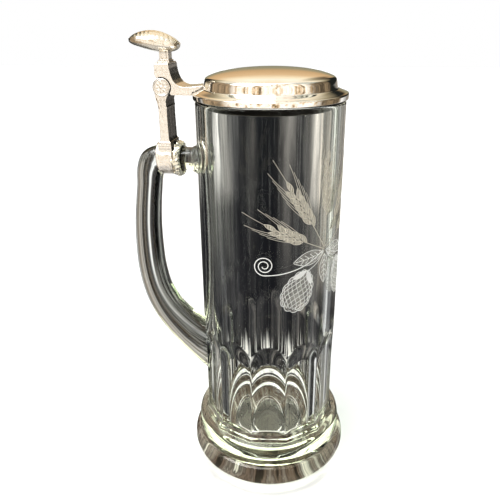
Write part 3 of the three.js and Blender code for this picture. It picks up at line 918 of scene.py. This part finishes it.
def build_thumb_pad():
    distance, middle, half_height, half_width = thumb_stations()
    a = 2 * np.pi * np.arange(THUMB_COLUMNS) / THUMB_COLUMNS
    rings = np.zeros((THUMB_RINGS, THUMB_COLUMNS, 3))
    rings[..., 0] = -distance[:, None]
    rings[..., 1] = half_width[:, None] * np.cos(a)
    rings[..., 2] = middle[:, None] + half_height[:, None] * np.sin(a)
    pad = grid_surface("thumb_lever_fine", rings,
                       poles=[(-48.25, 0, middle[0]), (-75.8, 0, middle[-1])])
    outward(pad)

    def relief(points, normals):
        x, y, z = points.T
        r = -x
        height = np.maximum(np.interp(r, distance, half_height), 0.3)
        up = (z - np.interp(r, distance, middle)) / height
        across = y / np.maximum(np.interp(r, distance, half_width), 0.5)
        top = smoothstep(0.40, 0.52, up)
        # border step between the plain side and the carved top
        depth = 0.16 * ridge(up - 0.42, 0.06)
        # curved ribs on both sides of a central spine, and hatching
        ribs = np.cos(2 * np.pi * ((r - 48) / 2.3 + np.abs(across) * 1.15))
        ribs = ribs * smoothstep(0.10, 0.2, np.abs(across))
        depth += top * 0.09 * ribs * smoothstep(49.5, 52.5, r) * smoothstep(75, 71.5, r)
        depth += top * 0.26 * ridge(across, 0.12)
        hatch = (np.cos(2 * np.pi * (r * 0.72 + y * 0.5))
                 * np.cos(2 * np.pi * (r * 0.72 - y * 0.5)))
        depth += top * 0.08 * hatch * smoothstep(60, 54, r)
        depth -= top * 0.10
        return depth + 0.02 * value_noise(points, 1.3, 31)
    displace(pad, relief)
    return pad


def stem_relief(points, normals):
    """A sunk panel on each cheek."""
    x, y, z = points.T
    cheek = smoothstep(0.6, 0.95, np.abs(normals[:, 1]))
    panel = (smoothstep(1.9, 1.3, np.abs(x + 56.6)) * smoothstep(241.4, 242.0, z)
             * smoothstep(245.6, 245.0, z) * (np.abs(y) < 3.6))
    return -0.5 * cheek * panel + 0.03 * value_noise(points, 1.0, 33)


def build_thumb():
    pad = build_thumb_pad()
    boxes = [box(*sizes) for sizes in STEM_BOXES]
    mesh = bpy.data.meshes.new("thumb_stem")
    absorb(mesh, boxes)
    stem = link("thumb_stem_fine", mesh)
    remesh(stem, 0.2)
    relax(stem, 4)
    displace(stem, stem_relief)
    relax(stem, 1, 0.3)
    finish_cast(pad, "lid", THUMB_PEWTER, replaces="thumb_lever")
    finish_cast(stem, "lid", CAST_PEWTER)


# ---------------------------------------------------------------- engraving
# A spray of barley and hops, mirrored about its middle. Points are (arc, z) in mm:
# arc is the length round the body from the +X side.
MOTIF_ARC = -24.0            # the motif's middle
TIE_Z = 148.0                # where its stems meet
KERNEL_PITCH = 4.4
LENS_BOW = 0.17              # bow of kernels and sepals, as a share of their length
CUT_BASE_R = BODY_R + 0.015  # inner side of the engraved lines
CUT_TOP_R = BODY_R + 0.13    # outer side of the engraved lines
PATH_STEPS = 6


def swing(start, end, bow, count=9):
    """An arc from start to end, bowed to its left."""
    reach, rise = end[0] - start[0], end[1] - start[1]
    points = []
    for i in range(count):
        t = i / (count - 1)
        k = 4 * bow * t * (1 - t)
        points.append((start[0] + reach * t - rise * k, start[1] + rise * t + reach * k))
    return points


def lens(start, end, bow=LENS_BOW):
    """A pointed oval from start to end."""
    return swing(start, end, bow) + swing(end, start, bow)[1:-1]


def along(root, angle):
    """Places points given as (distance along, distance to the left) of a direction."""
    c, s = math.cos(math.radians(angle)), math.sin(math.radians(angle))
    return lambda u, v: (root[0] + u * c - v * s, root[1] + u * s + v * c)


def draw_ear(art, root, angle, stalk, rows):
    at = along(root, angle)
    tip = stalk + KERNEL_PITCH * rows
    art["stalks"].append([at(u, 0.0) for u in np.linspace(0, tip, 8)])
    for i in range(rows):
        for side in (-1, 1):
            u = stalk + KERNEL_PITCH * i + 1.1 * side
            art["kernels"].append(lens(at(u, side * 0.5), at(u + 6.4, side * 3.0)))
            art["awns"].append([at(u + 6.4, side * 3.0), at(u + 13, side * 4.6),
                                at(u + 19, side * 5.6)])
    art["kernels"].append(lens(at(tip, 0), at(tip + 7, 0)))
    art["awns"].append([at(tip + 7, 0), at(tip + 14, 0), at(tip + 20, 0)])


def draw_cone(art, top, angle, length, width):
    """A hop cone: scalloped outline, a net of crossing curves and two sepals."""
    at = along(top, angle)
    outline = []
    for i in range(56):
        t = 2 * math.pi * i / 56
        scallop = 1 + 0.07 * abs(math.sin(7 * t))
        half_width = scallop * width / 2 * math.sin(t) * (1 - 0.15 * math.cos(t))
        outline.append(at(length / 2 * (1 - scallop * math.cos(t)), half_width))
    art["hops"].append(outline)
    for turn in (-1, 1):
        for j in range(-2, 9):
            points = []
            for x in np.linspace(0.06, 0.95, 16):
                phase = 0.42 * j - 2.4 * x
                if abs(phase) < 1.45:
                    half_width = width * math.sqrt(x * (1 - x)) * (1 - 0.15 * (1 - 2 * x))
                    points.append(at(x * length, turn * half_width * math.sin(phase)))
            if len(points) > 3:
                art["net"].append(points)
    for side in (-1, 1):
        art["sepals"].append(lens(at(-0.6, 0), at(length * 0.27, side * width * 0.34)))


def draw_leaf(art, root, angle, length):
    at = along(root, angle)
    art["leaves"].append(lens(at(0, 0), at(length, 0), bow=0.21))
    art["net"].append([at(u, 0) for u in np.linspace(0.5, length * 0.95, 6)])
    for x in (0.2, 0.36, 0.52, 0.68):
        for side in (-1, 1):
            art["net"].append([at(x * length, 0), at((x + 0.07) * length, side * length * 0.07),
                               at((x + 0.12) * length, side * length * 0.115)])


def draw_curl(art, start, centre, radius, turns):
    """A tendril that ends in a spiral."""
    points = swing(start, (centre[0], centre[1] - radius), 0.07, 8)[:-1]
    for i in range(44):
        t = i / 43
        a = -math.pi / 2 - 2 * math.pi * turns * t
        r = radius * (1 - 0.8 * t)
        points.append((centre[0] + r * math.cos(a), centre[1] + r * math.sin(a)))
    art["tendrils"].append(points)


def motif():
    middle = MOTIF_ARC
    cone_top = (middle - 12.5, TIE_Z - 11)
    kinds = ("awns", "stalks", "kernels", "net", "sepals", "arcs", "hops", "leaves", "tendrils")
    half = {kind: [] for kind in kinds}
    draw_ear(half, (middle - 0.6, TIE_Z), angle=122, stalk=17, rows=5)
    draw_ear(half, (middle - 0.8, TIE_Z - 1), angle=153, stalk=15, rows=4)
    draw_leaf(half, (middle - 1.5, TIE_Z - 2.5), angle=188, length=19)
    draw_cone(half, cone_top, angle=247, length=24, width=17)
    half["arcs"].append(swing((middle - 0.8, TIE_Z - 2), cone_top, 0.10))
    draw_curl(half, (middle - 1.5, TIE_Z - 1.5), (middle - 36, TIE_Z - 6), radius=5.5, turns=2.2)
    art = {kind: paths + [[(2 * middle - arc, z) for arc, z in path][::-1] for path in paths]
           for kind, paths in half.items()}
    draw_ear(art, (middle, TIE_Z), angle=90, stalk=19, rows=6)
    draw_leaf(art, (middle, TIE_Z - 4), angle=270, length=17)
    return art


def on_body(arc, z, radius):
    a = arc / BODY_R
    return (radius * math.cos(a) * MM, radius * math.sin(a) * MM, z * MM)


def smooth_path(points):
    """Uniform Catmull-Rom curve through the points."""
    points = np.array(points, float)
    padded = with_ends(points)
    curve = []
    for i in range(len(points) - 1):
        p0, p1, p2, p3 = padded[i:i + 4]
        for t in np.linspace(0, 1, PATH_STEPS, endpoint=False):
            curve.append(0.5 * ((2 * p1) + (p2 - p0) * t + (2 * p0 - 5 * p1 + 4 * p2 - p3) * t * t
                                + (3 * p1 - p0 - 3 * p2 + p3) * t ** 3))
    curve.append(points[-1])
    return np.array(curve)


def add_stroke(verts, faces, points, width):
    """Adds a thin closed bar along the path; its outer side is narrower."""
    path = smooth_path(points)
    direction = np.gradient(path, axis=0)
    normal = np.stack([-direction[:, 1], direction[:, 0]], 1)
    normal /= np.maximum(np.linalg.norm(normal, axis=1, keepdims=True), 1e-6)
    half = width / 2
    corners = ((half, CUT_BASE_R), (-half, CUT_BASE_R),
               (-half * 0.6, CUT_TOP_R), (half * 0.6, CUT_TOP_R))
    first = len(verts)
    for (arc, z), (across, up) in zip(path, normal):
        for offset, radius in corners:
            verts.append(on_body(arc + across * offset, z + up * offset, radius))
    for a in range(first, first + 4 * (len(path) - 1), 4):
        b = a + 4
        for j in range(4):
            k = (j + 1) % 4
            faces.append((a + j, a + k, b + k, b + j))
    last = len(verts) - 4
    faces.append((first, first + 3, first + 2, first + 1))
    faces.append((last, last + 1, last + 2, last + 3))


def closed(paths):
    return [path + [path[0]] for path in paths]


def build_strokes(name, mat, groups):
    """One object from groups of (paths, line width)."""
    verts, faces = [], []
    for paths, width in groups:
        for path in paths:
            add_stroke(verts, faces, path, width)
    ob = new_object(name, verts, faces, smooth=False)
    outward(ob)
    dress(ob, mat)
    register(ob, "mug")


def plaque_mesh(outline, base_r, top_r):
    """Closed shell filling an outline, cut into strips 1 mm wide and bent round the body."""
    bm = bmesh.new()
    bm.faces.new([bm.verts.new((arc, z, 0)) for arc, z in outline])
    bmesh.ops.triangulate(bm, faces=bm.faces[:], ngon_method="EAR_CLIP")
    arcs = [point[0] for point in outline]
    for cut in np.arange(math.floor(min(arcs)) + 0.5, max(arcs), 1.0):
        bmesh.ops.bisect_plane(bm, geom=bm.verts[:] + bm.edges[:] + bm.faces[:],
                               plane_co=(cut, 0, 0), plane_no=(1, 0, 0))
    raised = bmesh.ops.extrude_face_region(bm, geom=bm.faces[:])
    for item in raised["geom"]:
        if isinstance(item, bmesh.types.BMVert):
            item.co.z = 1.0
    for vert in bm.verts:
        arc, z, level = vert.co
        vert.co = on_body(arc, z, base_r + (top_r - base_r) * level)
    bmesh.ops.recalc_face_normals(bm, faces=bm.faces[:])
    mesh = bpy.data.meshes.new("plaque")
    bm.to_mesh(mesh)
    bm.free()
    return mesh


def build_plaques(name, mat, outlines, base, top):
    """Filled outlines; base and top are heights above the body."""
    total = bmesh.new()
    for outline in outlines:
        part = plaque_mesh(outline, BODY_R + base, BODY_R + top)
        total.from_mesh(part)
        bpy.data.meshes.remove(part)
    mesh = bpy.data.meshes.new(name)
    total.to_mesh(mesh)
    total.free()
    ob = link(name, mesh)
    outward(ob)
    dress(ob, mat)
    register(ob, "mug")


def build_engraving():
    art = motif()
    build_strokes("engraving_barley", STRAW, [
        (art["awns"], 0.25), (art["stalks"], 0.36), (closed(art["kernels"]), 0.24)])
    build_strokes("engraving_hops", FROST, [
        (closed(art["hops"]), 0.34), (art["net"], 0.27), (art["arcs"], 0.36),
        (closed(art["leaves"]), 0.30)])
    build_strokes("engraving_tendril", FROST, [(art["tendrils"], 0.60)])
    build_plaques("engraving_cut_faces", FROST, art["sepals"], base=0.015, top=0.10)
    build_plaques("engraving_grains", GRAIN, art["kernels"], base=0.012, top=0.06)
    build_plaques("engraving_hop_fill", LIGHT_FROST, art["hops"] + art["leaves"],
                  base=0.012, top=0.05)


# ---------------------------------------------------------------- world
# A painted room. Tables of upright bands hold bearing (deg), grey and, where given, warmth.

BACKDROP_BANDS = [
    (-60, .30), (-50, .08), (-44, .008), (-34, .006), (-25, .03), (-21, .12), (-18, .60, .03),
    (-14.5, .95, .02), (-12, .55, .03), (-10, .40, .03), (-8, .42, .03), (-6, .24), (-4.2, .13),
    (-2.8, .07), (-1.2, .10, .03), (0.0, .018, -.1), (3.4, .015, -.1), (4.5, .08, .04),
    (6.0, .32, .04), (7.4, .22, .04), (9.0, .14), (12, .20, .04), (14.5, .70, .05),
    (18, .55, .08), (22, .25, .08), (27, .40, .08), (32, .22, .05), (38, .45), (44, .12),
    (60, .30)]
LOW_BANDS = [
    (-80, .95), (-62, .75), (-54, .06), (-44, .002), (-30, .003), (-23, .02), (-18, .10),
    (-14.5, 1.15), (-11, 1.0), (-9, .12), (-5, .03, .05), (-1, .16, .12), (3, .03, .1),
    (8, .05, .08), (11, .55, .05), (14, .22, .1), (18, .62, .05), (26, .36, .1), (36, .28, .1),
    (44, .50), (56, .9), (80, 1.0)]
SIDE_BANDS = [
    (-120, .3), (-95, .03), (-84, .16), (-76, .04), (-66, .16), (-58, .04), (-50, .30),
    (44, .02), (50, .04), (53, .75), (60, 1.1), (66, .9), (70, .06), (90, .04), (96, .6),
    (120, .2)]


def grey(value, warmth=0.0):
    return (value * (1 + warmth), value, value * (1 - 1.2 * warmth))


def band_stops(table, span):
    """Ramp stops for a table centred on bearing 0 and span degrees wide."""
    return [((bearing + span / 2) / span, grey(*tone)) for bearing, *tone in table]


class Room(Nodes):
    """World nodes. bearing is 0 behind the mug as the camera sees it, positive to the right
    and +-pi towards the camera; elevation is the angle above the horizon."""

    def __init__(self, tree):
        super().__init__(tree, "OutputWorld")
        turned = self.node("Mapping", {"Vector": self.node("TexCoord").outputs["Generated"],
                                       "Rotation": (0, 0, math.radians(-10.2))})
        x, y, z = self.separate(turned)
        self.bearing = self.math("ARCTAN2", x, y)
        self.elevation = self.math("ARCSINE", z)
        self.off_axis = self.math("ABSOLUTE", self.bearing)
        # 0 at bearing -90 degrees, 1 at +90
        quarters = self.math("DIVIDE", self.bearing, math.radians(90.0))
        self.across = self.add(self.multiply(quarters, 0.5), 0.5)
        self.broad = self.clouds(14.0, 2.2, 0.0, detail=4.0, roughness=0.62)
        fine = self.clouds(46.0, 3.0, 3.7, detail=2.0)
        self.streak = self.add(self.multiply(self.step(0.36, 0.66, self.broad), 0.65),
                               self.multiply(self.step(0.40, 0.66, fine), 0.35))
        self.side_clouds = self.clouds(9.0, 1.0, 9.1, detail=4.0, roughness=0.65)

    def clouds(self, bearing_scale, elevation_scale, layer, detail, roughness=0.5):
        """Noise over bearing and elevation; upright streaks when the first scale is greater."""
        place = self.combine(self.multiply(self.bearing, bearing_scale),
                             self.multiply(self.elevation, elevation_scale), layer)
        return self.noise(place, 1.0, detail, roughness)

    def fade(self, angle, start, end):
        """step between two angles in degrees."""
        return self.step(math.radians(start), math.radians(end), angle)


def backdrop(n):
    """Below the horizon behind clear glass: soft upright bands under streaks, dimmed in places."""
    u, e = n.bearing, n.elevation
    band = n.ramp(n.across, band_stops(BACKDROP_BANDS, 180.0))
    low_left = n.multiply(n.fade(u, 0, -3), n.fade(e, -13.5, -19))
    outer = n.multiply(n.fade(u, -9.5, -12.5), n.fade(e, -18, -21))
    mid_right = n.multiply(n.multiply(n.fade(u, 11, 13), n.fade(u, 20.5, 18.5)),
                           n.fade(e, -17, -19.5))
    outer = n.max(outer, n.multiply(mid_right, 0.8))
    outer = n.max(outer, n.multiply(n.fade(u, 13, 19), n.fade(e, -27, -29)))
    dim = n.max(n.multiply(low_left, 0.88), n.multiply(outer, 0.93))
    middle = n.multiply(n.fade(n.off_axis, 13, 11),
                        n.add(0.30, n.multiply(n.fade(e, -9, -25), 0.45)))
    lowest = n.multiply(n.fade(e, -25.5, -28), 0.72)
    dim = n.max(dim, n.max(middle, lowest))
    streaks = n.mix(n.streak, (0.30, 0.30, 0.31), (1.9, 1.87, 1.80))
    streaks = n.tint(streaks, grey(0.7), mask=n.fade(e, -21, -26), amount=0.5)
    return n.mix(dim, n.mix(1.0, streaks, band, "MULTIPLY"), (0.018, 0.018, 0.023))


def low_backdrop(n):
    """Below the horizon, as metal and the handle's pressed glass see it."""
    bands = n.ramp(n.across, band_stops(LOW_BANDS, 180.0))
    patches = n.mix(n.step(0.45, 0.58, n.broad), (0.02, 0.02, 0.018), (0.50, 0.50, 0.46))
    bands = n.mix(1.0, bands, n.mix(n.streak, grey(0.65), (1.3, 1.3, 1.28)), "MULTIPLY")
    return n.tint(bands, patches, mask=n.fade(n.elevation, -23, -29), amount=0.72)


def upper_backdrop(n):
    """Warm glow above the horizon, darker to the sides, as metal sees it."""
    height = n.math("DIVIDE", n.elevation, math.pi / 2)
    warm = n.ramp(height, [
        (0.0, (0.28, 0.275, 0.20)), (0.09, (0.33, 0.30, 0.20)), (0.16, (0.58, 0.40, 0.22)),
        (0.28, (0.72, 0.52, 0.31)), (0.38, (0.92, 0.80, 0.58)), (0.5, (1.0, 0.93, 0.8)),
        (0.62, (0.95, 0.7, 0.42)), (0.8, (1.0, 0.95, 0.88)), (1.0, (1.0, 1.0, 1.0))])
    dark = n.ramp(height, [
        (0.0, (0.02, 0.022, 0.02)), (0.25, (0.02, 0.022, 0.02)), (0.36, (0.35, 0.3, 0.2)),
        (0.5, (0.9, 0.82, 0.65)), (1.0, (1, 1, 1))])
    return n.mix(n.fade(n.off_axis, 15, 19), warm, dark)


def metal_room(n, low, side):
    u, e = n.bearing, n.elevation
    back = n.mix(n.fade(e, -2.0, 0.5), low, upper_backdrop(n))
    patches = n.clouds(8.0, 1.6, 14.3, detail=5.0, roughness=0.75)
    front = n.ramp(patches, [
        (0.0, (0.03, 0.03, 0.03)), (0.36, (0.05, 0.045, 0.04)), (0.41, (0.42, 0.30, 0.17)),
        (0.45, (0.95, 0.70, 0.42)), (0.49, (1.05, 1.0, 0.92)), (0.55, (1.25, 1.24, 1.20)),
        (0.62, (0.95, 0.80, 0.58)), (0.66, (1.3, 1.3, 1.3)), (1.0, (1.4, 1.4, 1.4))])
    left = n.mix(n.streak, (0.16, 0.13, 0.09), (0.62, 0.46, 0.30))
    right = n.mix(n.streak, (0.05, 0.04, 0.03), (0.40, 0.31, 0.20))
    sides = n.mix(n.fade(e, 30, 48), n.mix(n.fade(u, -6, 6), left, right), side)
    room = n.mix(n.fade(n.off_axis, 58, 66), back, sides)
    room = n.mix(n.fade(n.off_axis, 95, 125), room, front)
    room = n.mix(n.fade(e, 62, 75), room, (1.1, 1.08, 1.05))
    pale = n.mix(n.step(0.40, 0.60, patches), (0.30, 0.26, 0.22), (0.98, 0.95, 0.90))
    room = n.mix(n.fade(e, -40, -54), room, pale)
    return n.mix(1.0, room, (1.18, 1.18, 1.19), "MULTIPLY")


def cream_streaks(n):
    """Above the horizon, as both glasses see it."""
    low = n.mix(n.step(0.26, 0.36, n.streak), (0.03, 0.03, 0.025), (1.5, 1.45, 1.10))
    high = n.mix(n.step(0.10, 0.17, n.streak), (0.04, 0.035, 0.025), (2.7, 2.58, 2.05))
    return n.mix(n.fade(n.elevation, 8, 16), low, high)


def glass_back(n, cream):
    """Bright and dark steps one under the other, which the panels fold into arches."""
    e = n.elevation
    wobble = n.clouds(7.0, 2.0, 5.5, detail=2.0)
    wavy = n.add(e, n.multiply(n.math("SUBTRACT", wobble, 0.5), math.radians(5.0)))
    sparse = n.clouds(13.0, 3.0, 21.5, detail=3.0, roughness=0.6)
    gleams = n.mix(n.step(0.545, 0.61, sparse), (0.012, 0.012, 0.014), (1.15, 1.13, 1.05))
    bright = n.mix(n.streak, (1.0, 1.0, 0.93), (1.7, 1.68, 1.58))
    back = n.mix(n.fade(wavy, -31.0, -33.0), backdrop(n), gleams)
    back = n.mix(n.fade(wavy, -36.5, -38.0), back, grey(0.022))
    back = n.mix(n.fade(wavy, -42.0, -44.5), back, bright)
    return n.mix(n.fade(e, -1.0, 1.5), back, cream)


def clear_glass_room(n, side, cream, front, below):
    e = n.elevation
    around = n.add(n.math("DIVIDE", n.bearing, math.radians(240.0)), 0.5)
    side_low = n.ramp(around, band_stops(SIDE_BANDS, 240.0))
    side_up = n.mix(n.step(0.16, 0.26, n.streak), (0.05, 0.045, 0.03), (1.9, 1.84, 1.45))
    sides = n.mix(n.fade(e, -20, -26), n.mix(n.fade(e, 4, 9), side, side_up), side_low)
    room = n.mix(n.fade(n.off_axis, 44, 50), glass_back(n, cream), sides)
    room = n.mix(n.fade(n.off_axis, 95, 118), room, front)
    room = n.mix(n.fade(e, 44, 56), room, (1.9, 1.84, 1.5))
    return n.mix(n.fade(e, -62, -68), room, below)


def pressed_glass_room(n, low, cream, front, below):
    sides = n.mix(n.step(0.44, 0.56, n.streak), grey(0.006), (0.95, 0.95, 0.88))
    room = n.mix(n.fade(n.elevation, -2.0, 0.5), low, cream)
    room = n.mix(n.fade(n.off_axis, 56, 62), room, sides)
    room = n.mix(n.fade(n.off_axis, 95, 118), room, front)
    return n.mix(n.fade(n.elevation, -48, -56), room, below)


def build_world():
    """Each kind of ray sees its own room; the camera sees plain white."""
    world = bpy.data.worlds.new("studio")
    bpy.context.scene.world = world
    world.use_nodes = True
    n = Room(world.node_tree)
    side = n.ramp(n.side_clouds, [
        (0.0, (0.01, 0.01, 0.01)), (0.42, (0.03, 0.03, 0.028)), (0.50, (0.45, 0.47, 0.40)),
        (0.56, (0.95, 0.97, 0.88)), (0.7, (1.1, 1.1, 1.0)), (1.0, (1.2, 1.2, 1.1))])
    front = n.ramp(n.side_clouds, [
        (0.0, (0.004, 0.004, 0.004)), (0.54, (0.014, 0.014, 0.014)), (0.60, (0.12, 0.12, 0.11)),
        (0.66, (1.2, 1.18, 1.1)), (1.0, (1.5, 1.5, 1.4))])
    below = n.mix(n.step(0.42, 0.62, n.broad), (0.012, 0.010, 0.009), (0.19, 0.15, 0.12))
    low = low_backdrop(n)
    cream = cream_streaks(n)
    ray = n.node("LightPath").outputs
    color = n.mix(ray["Is Transmission Ray"], metal_room(n, low, side),
                  pressed_glass_room(n, low, cream, front, below))
    color = n.mix(ray["Is Singular Ray"], color,
                  clear_glass_room(n, side, cream, front, below))
    painted = n.node("Background", {"Color": color, "Strength": 1.0})
    plain = n.node("Background", {"Color": (1.0, 1.0, 1.0), "Strength": 1.0})
    soft = n.node("Background", {"Color": (1.0, 0.997, 0.99), "Strength": 0.62})
    lit = n.mix_shader(ray["Is Diffuse Ray"], painted, soft)
    n.surface(n.mix_shader(ray["Is Camera Ray"], lit, plain))


# ---------------------------------------------------------------- floor, lights, camera (metres)

FLOOR_HALF = 3.0
FLOOR_LEVEL = -0.0004        # just under the foot


def floor_material():
    """Matt and pale, with a faint mirror image just in front of the foot."""
    mat, n = material("pale_floor")
    matt = n.node("BsdfDiffuse", {"Color": (0.93, 0.93, 0.93)})
    x, y, _ = n.separate(n.position())
    off_line = n.math("ABSOLUTE", n.math("SUBTRACT", x, n.multiply(y, -0.10)))
    near = n.multiply(n.step(0.095, 0.052, n.radius(x, y)), n.step(-0.02, -0.035, y))
    mask = n.multiply(n.step(0.052, 0.030, off_line), near)
    gloss = n.node("BsdfGlossy", {"Color": (0.75, 0.75, 0.76), "Roughness": 0.14})
    n.surface(n.mix_shader(n.multiply(mask, 0.38), matt, gloss))
    return mat


def build_floor():
    s, z = FLOOR_HALF, FLOOR_LEVEL
    floor = new_object("floor", [(-s, -s, z), (s, -s, z), (s, s, z), (-s, s, z)],
                       [(0, 1, 2, 3)], smooth=False)
    dress(floor, floor_material())
    floor.visible_glossy = False
    floor.visible_transmission = False


def add_light(name, kind, energy, direction):
    light = bpy.data.lights.new(name, kind)
    light.energy = energy
    ob = link(name, light)
    ob.rotation_mode = "QUATERNION"
    ob.rotation_quaternion = Vector(direction).to_track_quat("-Z", "Y")
    return ob


def build_lights():
    place, target = Vector((-0.55, -0.45, 0.95)), Vector((0, 0, 0.1))
    key = add_light("key", "AREA", energy=3.0, direction=target - place)
    key.location = place
    key.data.shape = "RECTANGLE"
    key.data.size = key.data.size_y = 0.6
    sun = add_light("soft_overhead", "SUN", energy=2.2, direction=(0.30, 0.28, -1.0))
    sun.data.angle = math.radians(46)


def build_camera():
    lens_data = bpy.data.cameras.new("view")
    camera = link("view", lens_data)
    lens_data.sensor_width = 36.0
    lens_data.lens = 39.531
    lens_data.clip_start = 0.01
    lens_data.clip_end = 50
    right = Vector((0.984813, 0.173382, -0.009029))
    up = Vector((-0.059036, 0.383326, 0.921724))
    back = right.cross(up).normalized()
    matrix = Matrix((right, up, back)).transposed().to_4x4()
    matrix.translation = Vector((41.723, -296.874, 260.549)) * MM
    camera.matrix_world = matrix
    bpy.context.scene.camera = camera


def set_render():
    scene = bpy.context.scene
    scene.view_settings.view_transform = "Standard"
    scene.view_settings.gamma = 0.88
    scene.cycles.max_bounces = 24
    scene.cycles.transmission_bounces = 20
    scene.cycles.glossy_bounces = 8
    scene.cycles.transparent_max_bounces = 24


# ---------------------------------------------------------------- build

build_mug()
build_lid()
build_cast("lid_arm", "lid", CAST_PEWTER, arm_relief, rounds=3,
           extra=prism(ARM_WEDGE, -7.7, 7.7))
build_cast("hinge_strap", "mug", STRAP_PEWTER, strap_relief, rounds=3,
           extra=prism(STRAP_FOOT, -7.5, 7.5))
build_cast("handle_collar", "mug", CAST_PEWTER, collar_relief, rounds=4)
build_crimp()
build_cap("pin_cap_near", side=-1)
build_cap("pin_cap_far", side=1)
build_thumb()
build_engraving()
dress(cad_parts["hinge_pin"], STEEL)
build_world()
build_floor()
build_lights()
build_camera()
set_render()
